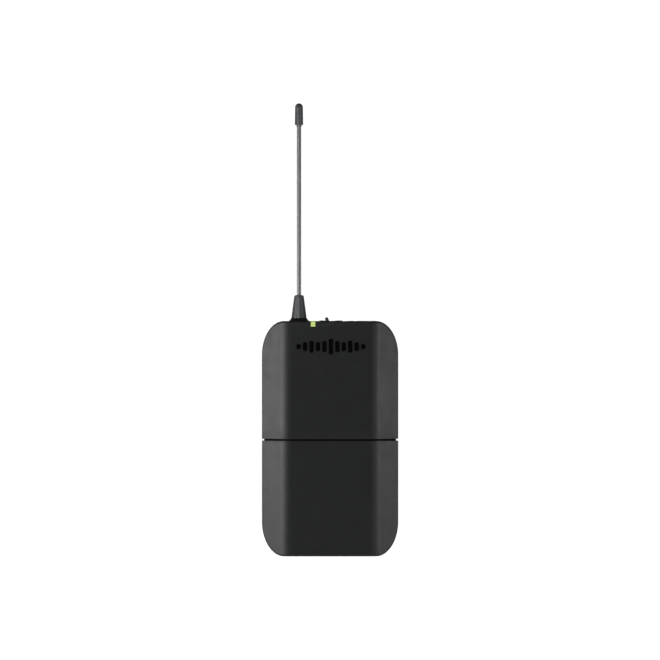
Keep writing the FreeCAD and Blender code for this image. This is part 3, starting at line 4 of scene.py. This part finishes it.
import bmesh
import bpy
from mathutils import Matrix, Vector

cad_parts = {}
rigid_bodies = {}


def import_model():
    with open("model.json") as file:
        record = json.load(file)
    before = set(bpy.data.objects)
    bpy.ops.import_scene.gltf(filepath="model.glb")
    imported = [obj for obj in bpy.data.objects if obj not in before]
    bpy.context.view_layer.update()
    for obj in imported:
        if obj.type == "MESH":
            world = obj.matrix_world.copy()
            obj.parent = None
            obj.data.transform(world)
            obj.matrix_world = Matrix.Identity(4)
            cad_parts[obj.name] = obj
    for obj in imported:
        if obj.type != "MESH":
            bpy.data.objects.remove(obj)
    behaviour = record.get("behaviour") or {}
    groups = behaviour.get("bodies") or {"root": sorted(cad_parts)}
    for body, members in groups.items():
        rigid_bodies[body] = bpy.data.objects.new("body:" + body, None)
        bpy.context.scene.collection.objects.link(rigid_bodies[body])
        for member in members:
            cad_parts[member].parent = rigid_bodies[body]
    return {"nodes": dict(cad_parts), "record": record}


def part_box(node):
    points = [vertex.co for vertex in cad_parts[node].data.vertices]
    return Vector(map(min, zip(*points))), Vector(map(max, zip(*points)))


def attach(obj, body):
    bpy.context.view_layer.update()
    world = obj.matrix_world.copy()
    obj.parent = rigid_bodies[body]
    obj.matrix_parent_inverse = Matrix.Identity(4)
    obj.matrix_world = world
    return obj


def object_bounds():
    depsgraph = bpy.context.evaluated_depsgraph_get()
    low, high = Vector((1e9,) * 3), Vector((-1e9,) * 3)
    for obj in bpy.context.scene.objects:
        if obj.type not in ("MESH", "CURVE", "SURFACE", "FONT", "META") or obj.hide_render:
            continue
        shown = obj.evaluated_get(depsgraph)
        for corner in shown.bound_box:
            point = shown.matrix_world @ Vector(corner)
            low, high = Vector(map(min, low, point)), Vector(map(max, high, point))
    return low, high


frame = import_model()
cad_low, cad_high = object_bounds()

MM = 0.001

# Where shade is painted: the gap between the front case and the door, and the pit under the light pipe
SEAM_LOW = 54.15 * MM
SEAM_HIGH = 54.85 * MM
PIT_LEFT = -9.1 * MM
PIT_RIGHT = -6.8 * MM
PIT_LOW = 106.2 * MM
PIT_HIGH = 107.7 * MM
PIT_FRONT = -9.94 * MM
PIT_BACK = -8.3 * MM
SHADOW = (0.0004, 0.0004, 0.0004)

NODES = frame["nodes"]
SLOT_OF = {part["node"]: part["material_slot"] for part in frame["record"]["subparts"]}


# ---------------------------------------------------------------- materials

def new_material(name):
    material = bpy.data.materials.new(name)
    material.use_nodes = True
    tree = material.node_tree
    shader = tree.nodes["Principled BSDF"]
    return material, tree, shader


def noise(tree, scale, detail=3.0, roughness=0.55, stretch=(1, 1, 1)):
    """Noise in object space, whose scale is in cells per metre."""
    coords = tree.nodes.new("ShaderNodeTexCoord")
    mapping = tree.nodes.new("ShaderNodeMapping")
    mapping.inputs["Scale"].default_value = stretch
    texture = tree.nodes.new("ShaderNodeTexNoise")
    texture.inputs["Scale"].default_value = scale
    texture.inputs["Detail"].default_value = detail
    texture.inputs["Roughness"].default_value = roughness
    tree.links.new(coords.outputs["Object"], mapping.inputs["Vector"])
    tree.links.new(mapping.outputs["Vector"], texture.inputs["Vector"])
    return texture.outputs["Fac"]


def remap(tree, value, low, high, from_low=0.3, from_high=0.7):
    node = tree.nodes.new("ShaderNodeMapRange")
    node.inputs["From Min"].default_value = from_low
    node.inputs["From Max"].default_value = from_high
    node.inputs["To Min"].default_value = low
    node.inputs["To Max"].default_value = high
    tree.links.new(value, node.inputs["Value"])
    return node.outputs["Result"]


def fade(tree, value, near, far):
    """1 up to near, then down to 0 at far."""
    return remap(tree, value, 1.0, 0.0, near, far)


def calculate(tree, operation, first, second):
    """first is a socket; second is a socket or a number."""
    node = tree.nodes.new("ShaderNodeMath")
    node.operation = operation
    tree.links.new(first, node.inputs[0])
    if isinstance(second, float):
        node.inputs[1].default_value = second
    else:
        tree.links.new(second, node.inputs[1])
    return node.outputs[0]


def step(tree, value, threshold):
    """1 above the threshold, 0 below it."""
    return calculate(tree, "GREATER_THAN", value, threshold)


def band(tree, value, low, high):
    """1 between low and high, 0 elsewhere."""
    return calculate(tree, "SUBTRACT", step(tree, value, low), step(tree, value, high))


def object_axes(tree):
    """The X, Y and Z sockets of object space, in metres."""
    coords = tree.nodes.new("ShaderNodeTexCoord")
    split = tree.nodes.new("ShaderNodeSeparateXYZ")
    tree.links.new(coords.outputs["Object"], split.inputs[0])
    return split.outputs["X"], split.outputs["Y"], split.outputs["Z"]


def mix_values(tree, factor, first, second):
    """first is a socket and second is a number."""
    node = tree.nodes.new("ShaderNodeMix")
    tree.links.new(factor, node.inputs["Factor"])
    tree.links.new(first, node.inputs[2])
    node.inputs[3].default_value = second
    return node.outputs[0]


def mix_colours(tree, factor, first, second):
    """first and second are colours or colour sockets."""
    node = tree.nodes.new("ShaderNodeMix")
    node.data_type = "RGBA"
    tree.links.new(factor, node.inputs["Factor"])
    for socket, value in ((node.inputs[6], first), (node.inputs[7], second)):
        if isinstance(value, tuple):
            socket.default_value = (*value, 1.0)
        else:
            tree.links.new(value, socket)
    return node.outputs[2]


def add_bump(tree, shader, height, depth, strength=1.0):
    """Adds a bump of the given depth in metres on top of any bump already there."""
    node = tree.nodes.new("ShaderNodeBump")
    node.inputs["Strength"].default_value = strength
    node.inputs["Distance"].default_value = depth
    tree.links.new(height, node.inputs["Height"])
    if shader.inputs["Normal"].links:
        tree.links.new(shader.inputs["Normal"].links[0].from_socket, node.inputs["Normal"])
    tree.links.new(node.outputs["Normal"], shader.inputs["Normal"])


def edge_wear_and_highlight(tree, amount):
    """A factor that is high on convex edges, broken up by noise; it lightens them as a worn look and a
    painted highlight.
    """
    geometry = tree.nodes.new("ShaderNodeNewGeometry")
    pointy = remap(tree, geometry.outputs["Pointiness"], 0.0, amount, 0.52, 0.62)
    patches = remap(tree, noise(tree, 420, 4), 0.2, 1.0, 0.42, 0.62)
    return calculate(tree, "MULTIPLY", pointy, patches)


def shadow_mask(tree):
    """1 where shade is painted: in the gap between the front case and the door and in the pit under the
    light pipe.
    """
    x, y, z = object_axes(tree)
    seam = band(tree, z, SEAM_LOW, SEAM_HIGH)
    pit = band(tree, z, PIT_LOW, PIT_HIGH)
    pit = calculate(tree, "MULTIPLY", pit, band(tree, x, PIT_LEFT, PIT_RIGHT))
    pit = calculate(tree, "MULTIPLY", pit, band(tree, y, PIT_FRONT, PIT_BACK))
    return calculate(tree, "MAXIMUM", seam, pit)


CLOUD_SCALE = 90
STAIN_SCALE = 230
# Strength of the painted highlight and worn look on the front's edges
WEAR_AND_HIGHLIGHT_AMOUNT = 0.6
COARSER = 14
COARSE_DEPTH = 1.5
COARSE_STRENGTH = 0.35


def textured(name, dark, light, rough, grain, grain_depth, specular=0.5, wear_and_highlight=None, shadowed=False):
    """A surface with cloudy colour, varied roughness and fine grain over a coarser one.

    rough is a (low, high) pair; grain is in cells per metre; grain_depth is in metres;
    wear_and_highlight is the colour of the lightened convex edges, a worn look and a painted highlight;
    shadowed paints shade into the seam and the pit.
    """
    material, tree, shader = new_material(name)
    shader.inputs["Specular IOR Level"].default_value = specular
    clouds = remap(tree, noise(tree, CLOUD_SCALE, 5), 0.0, 1.0)
    colour = mix_colours(tree, clouds, dark, light)
    # Painted highlight: the convex edges are lightened, patchy as if worn
    if wear_and_highlight:
        colour = mix_colours(tree, edge_wear_and_highlight(tree, WEAR_AND_HIGHLIGHT_AMOUNT), colour, wear_and_highlight)
    roughness = remap(tree, noise(tree, STAIN_SCALE, 6, 0.65), *rough)
    # Painted shade: the seam and the pit turn near black and fully rough
    if shadowed:
        shadow = shadow_mask(tree)
        colour = mix_colours(tree, shadow, colour, SHADOW)
        roughness = mix_values(tree, shadow, roughness, 1.0)
    tree.links.new(colour, shader.inputs["Base Color"])
    tree.links.new(roughness, shader.inputs["Roughness"])
    add_bump(tree, shader, noise(tree, grain, 2.0), grain_depth)
    coarse = noise(tree, grain / COARSER, 3.0)
    add_bump(tree, shader, coarse, grain_depth * COARSE_DEPTH, COARSE_STRENGTH)
    return material


BRUSH_SCALE = 2600
BRUSH_DEPTH = 0.000004


def brushed(name, dark, light, rough, stretch):
    """Metal with fine lines; stretch gives the noise's scale along X, Y and Z."""
    material, tree, shader = new_material(name)
    shader.inputs["Metallic"].default_value = 1.0
    lines = noise(tree, BRUSH_SCALE, 3.0, 0.6, stretch)
    tree.links.new(mix_colours(tree, remap(tree, lines, 0, 1), dark, light), shader.inputs["Base Color"])
    stains = noise(tree, 500, 5.0, 0.6)
    tree.links.new(remap(tree, stains, *rough), shader.inputs["Roughness"])
    add_bump(tree, shader, lines, BRUSH_DEPTH)
    return material


def light_pipe():
    """Translucent yellow-green plastic, lit from inside."""
    material, tree, shader = new_material("light_pipe")
    grain = remap(tree, noise(tree, 900, 4), 0.0, 1.0)
    colour = mix_colours(tree, grain, (0.27, 0.36, 0.09), (0.36, 0.47, 0.14))
    tree.links.new(colour, shader.inputs["Base Color"])
    tree.links.new(remap(tree, grain, 0.22, 0.34, 0.0, 1.0), shader.inputs["Roughness"])
    shader.inputs["Emission Color"].default_value = (0.31, 0.41, 0.12, 1.0)
    shader.inputs["Emission Strength"].default_value = 0.15
    shader.inputs["Subsurface Weight"].default_value = 0.25
    shader.inputs["Subsurface Radius"].default_value = (0.0008, 0.001, 0.0004)
    add_bump(tree, shader, noise(tree, 3000, 2), 0.000004)
    return material


def board():
    """Green solder mask over faint copper tracks."""
    material, tree, shader = new_material("board_green")
    coords = tree.nodes.new("ShaderNodeTexCoord")
    mapping = tree.nodes.new("ShaderNodeMapping")
    mapping.inputs["Rotation"].default_value = (math.radians(90), 0, 0)
    tracks = tree.nodes.new("ShaderNodeTexBrick")
    tracks.inputs["Scale"].default_value = 260
    tracks.inputs["Mortar Size"].default_value = 0.03
    tree.links.new(coords.outputs["Object"], mapping.inputs["Vector"])
    tree.links.new(mapping.outputs["Vector"], tracks.inputs["Vector"])
    clouds = remap(tree, noise(tree, 300), 0, 1)
    mask = mix_colours(tree, clouds, (0.008, 0.07, 0.03), (0.012, 0.10, 0.04))
    colour = mix_colours(tree, tracks.outputs["Fac"], mask, (0.03, 0.17, 0.07))
    tree.links.new(colour, shader.inputs["Base Color"])
    tree.links.new(remap(tree, noise(tree, 700), 0.2, 0.38), shader.inputs["Roughness"])
    add_bump(tree, shader, tracks.outputs["Fac"], 0.00002)
    return material


NUB_H = 1.3 * MM
CELL_RIM = 0.35 * MM
CELL_BAND = 9 * MM
FILM_DARK = (0.030, 0.075, 0.09)
FILM_PALE = (0.42, 0.44, 0.43)
CELL_STEEL = (0.55, 0.55, 0.54)


def cell_skin(node, nub_up):
    """Printed film sleeve with a pale band at the nub's end, and bare steel at both ends."""
    material, tree, shader = new_material(node + "_skin")
    low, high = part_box(node)
    top = high[2] - CELL_RIM - (NUB_H if nub_up else 0)
    bottom = low[2] + CELL_RIM + (0 if nub_up else NUB_H)
    _x, _y, height = object_axes(tree)
    if nub_up:
        film = mix_colours(tree, step(tree, height, top - CELL_BAND), FILM_DARK, FILM_PALE)
    else:
        film = mix_colours(tree, step(tree, height, bottom + CELL_BAND), FILM_PALE, FILM_DARK)
    sleeve = band(tree, height, bottom, top)
    tree.links.new(mix_colours(tree, sleeve, CELL_STEEL, film), shader.inputs["Base Color"])
    tree.links.new(remap(tree, sleeve, 1.0, 0.0, 0.0, 1.0), shader.inputs["Metallic"])
    tree.links.new(remap(tree, noise(tree, 400, 5), 0.22, 0.36), shader.inputs["Roughness"])
    add_bump(tree, shader, noise(tree, 1500, 3), 0.000002)
    return material


def window():
    """Smoked red window over the display."""
    material, tree, shader = new_material("window_clear")
    clouds = remap(tree, noise(tree, 200), 0, 1)
    tint = mix_colours(tree, clouds, (0.42, 0.05, 0.04), (0.50, 0.06, 0.05))
    tree.links.new(tint, shader.inputs["Base Color"])
    tree.links.new(remap(tree, noise(tree, 800, 5), 0.04, 0.12), shader.inputs["Roughness"])
    shader.inputs["Transmission Weight"].default_value = 0.92
    add_bump(tree, shader, noise(tree, 600), 0.000003)
    return material


# Colour of the front's lightened edges: a worn look and a painted highlight
WORN_AND_HIGHLIT_EDGE = (0.020, 0.0215, 0.022)


def case_plastic(name, in_front):
    """Black plastic with a fine grain; the front's convex edges are lightened as a worn look and a painted
    highlight, and painted shade darkens its seam and pit.
    """
    return textured(
        name, (0.0046, 0.0049, 0.0051), (0.0056, 0.0060, 0.0062), (0.36, 0.43), 5200, 0.000012,
        specular=0.15, wear_and_highlight=WORN_AND_HIGHLIT_EDGE if in_front else None, shadowed=in_front,
    )


FRONT_PLASTIC = case_plastic("front_plastic", True)
MATERIALS = {
    "case_plastic": case_plastic("case_plastic", False),
    "inner_plastic": textured(
        "inner_plastic", (0.010, 0.0105, 0.011), (0.014, 0.0145, 0.015),
        (0.42, 0.55), 4200, 0.000014,
    ),
    "antenna_rubber": textured(
        "antenna_rubber", (0.029, 0.030, 0.032), (0.035, 0.036, 0.038), (0.22, 0.27), 3600, 0.0000012,
    ),
    "antenna_wire": textured(
        "antenna_wire", (0.056, 0.058, 0.062), (0.064, 0.066, 0.070), (0.26, 0.32), 2600, 0.0000005,
    ),
    "collar_plastic": textured(
        "collar_plastic", (0.0030, 0.0031, 0.0033), (0.0042, 0.0043, 0.0046),
        (0.26, 0.34), 2600, 0.000003, specular=0.25,
    ),
    "lever_plastic": textured(
        "lever_plastic", (0.014, 0.0145, 0.015), (0.020, 0.0205, 0.021), (0.34, 0.48), 3800, 0.00001,
    ),
    "light_pipe": light_pipe(),
    "led_chip": textured("led_chip", (0.70, 0.74, 0.52), (0.80, 0.83, 0.62), (0.12, 0.25), 3000, 0.000004),
    "nickel": brushed("nickel", (0.48, 0.46, 0.43), (0.62, 0.60, 0.56), (0.20, 0.34), (1, 1, 8)),
    "gold": brushed("gold", (0.72, 0.50, 0.18), (0.88, 0.66, 0.28), (0.16, 0.28), (1, 1, 6)),
    "spring_steel": brushed("spring_steel", (0.42, 0.42, 0.43), (0.60, 0.60, 0.61), (0.22, 0.38), (6, 1, 1)),
    "clip_steel": textured(
        "clip_steel", (0.0105, 0.0107, 0.011), (0.0125, 0.0128, 0.013), (0.38, 0.46), 4200, 0.000012,
    ),
    "screw_steel": brushed(
        "screw_steel", (0.035, 0.035, 0.038), (0.07, 0.07, 0.074), (0.30, 0.45), (1, 6, 1),
    ),
    "brass": brushed("brass", (0.55, 0.38, 0.14), (0.70, 0.52, 0.22), (0.22, 0.36), (1, 1, 8)),
    "board_green": board(),
    "tinplate": brushed("tinplate", (0.52, 0.52, 0.51), (0.66, 0.66, 0.65), (0.26, 0.42), (1, 1, 5)),
    "chip_black": textured(
        "chip_black", (0.011, 0.011, 0.012), (0.017, 0.017, 0.018), (0.5, 0.62), 6000, 0.00001,
    ),
    "capacitor_can": brushed(
        "capacitor_can", (0.58, 0.58, 0.60), (0.70, 0.70, 0.72), (0.2, 0.32), (1, 5, 1),
    ),
    "display_black": textured(
        "display_black", (0.008, 0.008, 0.009), (0.012, 0.012, 0.013), (0.12, 0.22), 2500, 0.000003,
    ),
    "window_clear": window(),
    "button_grey": textured(
        "button_grey", (0.075, 0.078, 0.082), (0.095, 0.098, 0.102), (0.42, 0.55), 4600, 0.000012,
    ),
    "trimmer_white": textured(
        "trimmer_white", (0.58, 0.58, 0.56), (0.68, 0.68, 0.66), (0.35, 0.48), 3600, 0.000008,
    ),
    "label_film": textured(
        "label_film", (0.20, 0.205, 0.21), (0.25, 0.255, 0.26), (0.38, 0.5), 3200, 0.000006,
    ),
}
NODE_LOOKS = {
    "front_case": FRONT_PLASTIC,
    "battery_door": FRONT_PLASTIC,
    "cell_left": cell_skin("cell_left", True),
    "cell_right": cell_skin("cell_right", False),
    "antenna_tip": textured(
        "tip_rubber", (0.034, 0.035, 0.037), (0.040, 0.041, 0.043), (0.13, 0.18), 3600, 0.0000008,
    ),
}


def gloss_black():
    """Glossy black ink of the raised mark."""
    return textured(
        "gloss_black", (0.0006, 0.0006, 0.0007), (0.001, 0.001, 0.0011),
        (0.16, 0.22), 2200, 0.0000005, specular=0.05,
    )


def segment_ink():
    """Pale translucent bars of an unlit display."""
    return textured("segment_ink", (0.62, 0.56, 0.54), (0.74, 0.68, 0.66), (0.3, 0.42), 2500, 0.000001)


def paint_cad_nodes():
    for name, node in NODES.items():
        material = NODE_LOOKS[name] if name in NODE_LOOKS else MATERIALS[SLOT_OF[name]]
        for slot in node.material_slots:
            slot.material = material


# ---------------------------------------------------------------- mesh pieces

def new_piece(name, mesh_builder, material, body):
    mesh = bpy.data.meshes.new(name)
    bm = bmesh.new()
    mesh_builder(bm)
    bmesh.ops.recalc_face_normals(bm, faces=bm.faces)
    bm.to_mesh(mesh)
    bm.free()
    piece = bpy.data.objects.new(name, mesh)
    bpy.context.scene.collection.objects.link(piece)
    mesh.materials.append(material)
    for polygon in mesh.polygons:
        polygon.use_smooth = True
    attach(piece, body)
    return piece


def round_edges(piece, width, segments=3, angle=35):
    bevel = piece.modifiers.new("edges", "BEVEL")
    bevel.width = width
    bevel.segments = segments
    bevel.limit_method = "ANGLE"
    bevel.angle_limit = math.radians(angle)
    bevel.harden_normals = True


WELD_GAP = 0.002 * MM
SOFTEN_ANGLE = 38

# Width of the softened edges of these CAD pieces, in millimetres
SOFTENED = {
    "belt_clip": 0.18,
    "switch_bezel": 0.10,
    "power_lever": 0.12,
    "door_latch_left": 0.10,
    "door_latch_right": 0.10,
    "control_panel": 0.12,
    "battery_tray": 0.15,
    "gain_trimmer": 0.08,
    "group_button": 0.10,
    "channel_button": 0.10,
}


def soften(node, width):
    """Breaks the sharp edges of a CAD piece, for looks only."""
    piece = NODES[node]
    weld = piece.modifiers.new("join", "WELD")
    weld.merge_threshold = WELD_GAP
    round_edges(piece, width, 2, SOFTEN_ANGLE)


def soften_all():
    for node, width in SOFTENED.items():
        soften(node, width * MM)


RAY_START = 10 * MM


def front_surface_y(x, z):
    """Where the front case's outer face lies at (x, z)."""
    start = Vector((x, cad_low.y - RAY_START, z))
    hit, place, _normal, _index = NODES["front_case"].ray_cast(start, Vector((0, 1, 0)))
    return place.y if hit else cad_low.y


MARK_X = 0.35 * MM
MARK_Z = 98.2 * MM
MARK_RISE = 0.22 * MM
MARK_SINK = 0.25 * MM
BAR_W = 2.25 * MM
BAR_PITCH = 3.02 * MM
BAR_COUNT = 11
BAR_TALL = 7.6 * MM
BAR_SHORT = 2.6 * MM
BAR_STEPS = 10
BAR_EDGE = 0.12 * MM
SWELL_POWER = 0.7
BEATS = 3.0
BEAT_SHARE = 0.65


def bar_height(index):
    """Two overlapping waves, so that the bars rise and fall like a sound trace."""
    place = index / (BAR_COUNT - 1)
    swell = math.sin(math.pi * place) ** SWELL_POWER
    beat = 0.5 + 0.5 * math.cos(2 * math.pi * (place * BEATS - 0.5))
    return BAR_SHORT + (BAR_TALL - BAR_SHORT) * swell * (1 - BEAT_SHARE + BEAT_SHARE * beat)


def add_prism(bm, front, back):
    """A closed solid between two outlines with the same number of points."""
    front = [bm.verts.new(point) for point in front]
    back = [bm.verts.new(point) for point in back]
    bm.faces.new(front)
    bm.faces.new(list(reversed(back)))
    count = len(front)
    for k in range(count):
        following = (k + 1) % count
        bm.faces.new((front[k], front[following], back[following], back[k]))


def add_bar(bm, x, height):
    """A pill-shaped bar that follows the front face."""
    radius = BAR_W / 2
    straight = max(height / 2 - radius, 0)
    outline = []
    for end in (1, -1):
        for k in range(BAR_STEPS + 1):
            angle = math.pi * k / BAR_STEPS + (0 if end > 0 else math.pi)
            px = x + radius * math.cos(angle)
            pz = MARK_Z + end * straight + radius * math.sin(angle)
            outline.append((px, pz))
    front = [(px, front_surface_y(px, pz) - MARK_RISE, pz) for px, pz in outline]
    back = [(px, front_surface_y(px, pz) + MARK_SINK, pz) for px, pz in outline]
    add_prism(bm, front, back)


def front_mark():
    """A plain row of bars like a sound trace, in place of any wording."""
    def build(bm):
        for index in range(BAR_COUNT):
            x = MARK_X + (index - (BAR_COUNT - 1) / 2) * BAR_PITCH
            add_bar(bm, x, bar_height(index))

    piece = new_piece("front_mark", build, gloss_black(), "case")
    round_edges(piece, BAR_EDGE)


DIGIT_X = 15.6 * MM
DIGIT_Z = 43.0 * MM
DIGIT_PITCH = 5.2 * MM
DIGIT_W = 3.3 * MM
DIGIT_H = 6.4 * MM
DIGIT_FRONT = -0.78 * MM
DIGIT_BACK = -0.62 * MM
SEGMENT_T = 0.55 * MM
SEGMENT_GAP = 0.2 * MM
SEGMENT_EDGE = 0.03 * MM


def add_segment(bm, x, z, length, upright):
    """A flat six-sided bar, pointed at both ends."""
    half = SEGMENT_T / 2
    reach = length / 2
    outline = [
        (-reach, 0),
        (-reach + half, half),
        (reach - half, half),
        (reach, 0),
        (reach - half, -half),
        (-reach + half, -half),
    ]
    if upright:
        outline = [(across, along) for along, across in outline]
    front = [(x + dx, DIGIT_FRONT, z + dz) for dx, dz in outline]
    back = [(x + dx, DIGIT_BACK, z + dz) for dx, dz in outline]
    add_prism(bm, front, back)


def display_segments():
    """Two unlit seven-bar digits behind the window."""
    def build(bm):
        for side in (-1, 1):
            x = DIGIT_X + side * DIGIT_PITCH / 2
            for level in (-1, 0, 1):
                add_segment(bm, x, DIGIT_Z + level * DIGIT_H / 2, DIGIT_W - SEGMENT_GAP, False)
            for across in (-1, 1):
                for level in (-1, 1):
                    place_x = x + across * DIGIT_W / 2
                    place_z = DIGIT_Z + level * DIGIT_H / 4
                    add_segment(bm, place_x, place_z, DIGIT_H / 2 - SEGMENT_GAP, True)

    piece = new_piece("display_segments", build, segment_ink(), "case")
    round_edges(piece, SEGMENT_EDGE, 2)


# ---------------------------------------------------------------- studio

ROOM = (0.10, 0.10, 0.103)
PANEL = (1.05, 1.05, 1.05)
PANEL_EDGE = (0.90, 0.97)


def studio_world():
    """A dim room with a bright white panel straight behind the object.

    PANEL_EDGE is where the panel starts and is full, as the Y of the direction looked in.
    """
    world = bpy.data.worlds.new("studio")
    bpy.context.scene.world = world
    world.use_nodes = True
    tree = world.node_tree
    background = tree.nodes["Background"]
    coords = tree.nodes.new("ShaderNodeTexCoord")
    split = tree.nodes.new("ShaderNodeSeparateXYZ")
    tree.links.new(coords.outputs["Generated"], split.inputs[0])
    panel = remap(tree, split.outputs["Y"], 0.0, 1.0, *PANEL_EDGE)
    colour = mix_colours(tree, panel, ROOM, PANEL)
    tree.links.new(colour, background.inputs["Color"])
    background.inputs["Strength"].default_value = 1.0


def area_light(name, place, aim, size, power):
    data = bpy.data.lights.new(name, "AREA")
    data.shape = "RECTANGLE"
    data.size, data.size_y = size
    data.energy = power
    light = bpy.data.objects.new(name, data)
    bpy.context.scene.collection.objects.link(light)
    light.location = place
    light.rotation_euler = (Vector(aim) - Vector(place)).to_track_quat("-Z", "Y").to_euler()


# Name, place, size in metres and power in watts of the lights that aim at the case
SOFTBOXES = (
    ("left_softbox", (-0.68, -0.30, 0.02), (0.30, 0.32), 8.6),
    ("left_fill", (-0.6, -0.56, 0.07), (0.20, 0.34), 3.0),
    ("right_softbox", (0.68, -0.30, 0.02), (0.22, 0.30), 4.1),
    ("right_fill", (0.5, -0.62, 0.05), (0.24, 0.40), 1.1),
)
CASE_MIDDLE = (0, 0, 0.08)
CASE_TOP = (0, 0, 0.11)


def studio_lights():
    for name, place, size, power in SOFTBOXES:
        area_light(name, place, CASE_MIDDLE, size, power)
    area_light("top_softbox", (-0.08, -0.35, 0.19), CASE_TOP, (0.2, 0.05), 0.17)


FLOOR_SIZE = 30.0
FLOOR_LIT_WHITE = (0.82, 0.82, 0.82)
FLOOR_UNLIT_GREY = (0.30, 0.30, 0.30)
FLOOR_GLOW = (0.10, 0.90)
SWEEP_EDGE = (0.18, 0.55)
SWEEP_SPREAD = 0.9
SWEEP_FRONT = (-1.3, -0.85)
FLOOR_DROP = -9.8 * MM
DOOR_TRAVEL = 95


def studio_floor():
    """A white sweep that glows as a painted pool of light, which widens to the back and fades to grey at its
    sides and far in front.
    """
    material, tree, shader = new_material("pale_floor")
    x, y, _z = object_axes(tree)
    across = calculate(tree, "ABSOLUTE", x, 0.0)
    spread = calculate(tree, "MULTIPLY", calculate(tree, "MAXIMUM", y, 0.0), SWEEP_SPREAD)
    beyond = calculate(tree, "SUBTRACT", across, spread)
    front = remap(tree, y, 0.0, 1.0, *SWEEP_FRONT)
    lit = calculate(tree, "MULTIPLY", fade(tree, beyond, *SWEEP_EDGE), front)
    # The floor glows where the painted pool of light lies
    glow = remap(tree, lit, *FLOOR_GLOW, 0.0, 1.0)
    tree.links.new(glow, shader.inputs["Emission Strength"])
    shader.inputs["Emission Color"].default_value = (1.0, 1.0, 1.0, 1.0)
    tree.links.new(mix_colours(tree, lit, FLOOR_UNLIT_GREY, FLOOR_LIT_WHITE), shader.inputs["Base Color"])
    shader.inputs["Roughness"].default_value = 0.6
    bpy.ops.mesh.primitive_plane_add(size=FLOOR_SIZE, location=(0, 0, 0))
    floor = bpy.context.object
    floor.name = "floor"
    floor.data.materials.append(material)
    lower_with_door(floor)


def lower_with_door(floor):
    """Lets the floor sink as the door swings down, because the open door hangs below the base."""
    sink = floor.constraints.new("TRANSFORM")
    sink.target = bpy.data.objects["body:battery_door"]
    sink.map_from = "ROTATION"
    sink.from_max_x_rot = math.radians(DOOR_TRAVEL)
    sink.map_to = "LOCATION"
    sink.map_to_z_from = "X"
    sink.to_max_z = FLOOR_DROP


PHOTO_SPAN = 308.8 * MM
PHOTO_X = -0.04 * MM
PHOTO_Z = 106.0 * MM
LENS = 300.0
SENSOR = 36.0


def photo_camera():
    """Level and straight at the front, from far away; the view is PHOTO_SPAN wide at the case."""
    data = bpy.data.cameras.new("camera")
    data.lens = LENS
    data.sensor_width = SENSOR
    distance = PHOTO_SPAN / 2 / (SENSOR / 2 / LENS)
    camera = bpy.data.objects.new("camera", data)
    bpy.context.scene.collection.objects.link(camera)
    camera.location = (PHOTO_X, cad_low.y - distance, PHOTO_Z)
    camera.rotation_euler = (math.radians(90), 0, 0)
    bpy.context.scene.camera = camera


bpy.context.scene.view_settings.view_transform = "Standard"
paint_cad_nodes()
front_mark()
display_segments()
soften_all()
studio_world()
studio_lights()
studio_floor()
photo_camera()
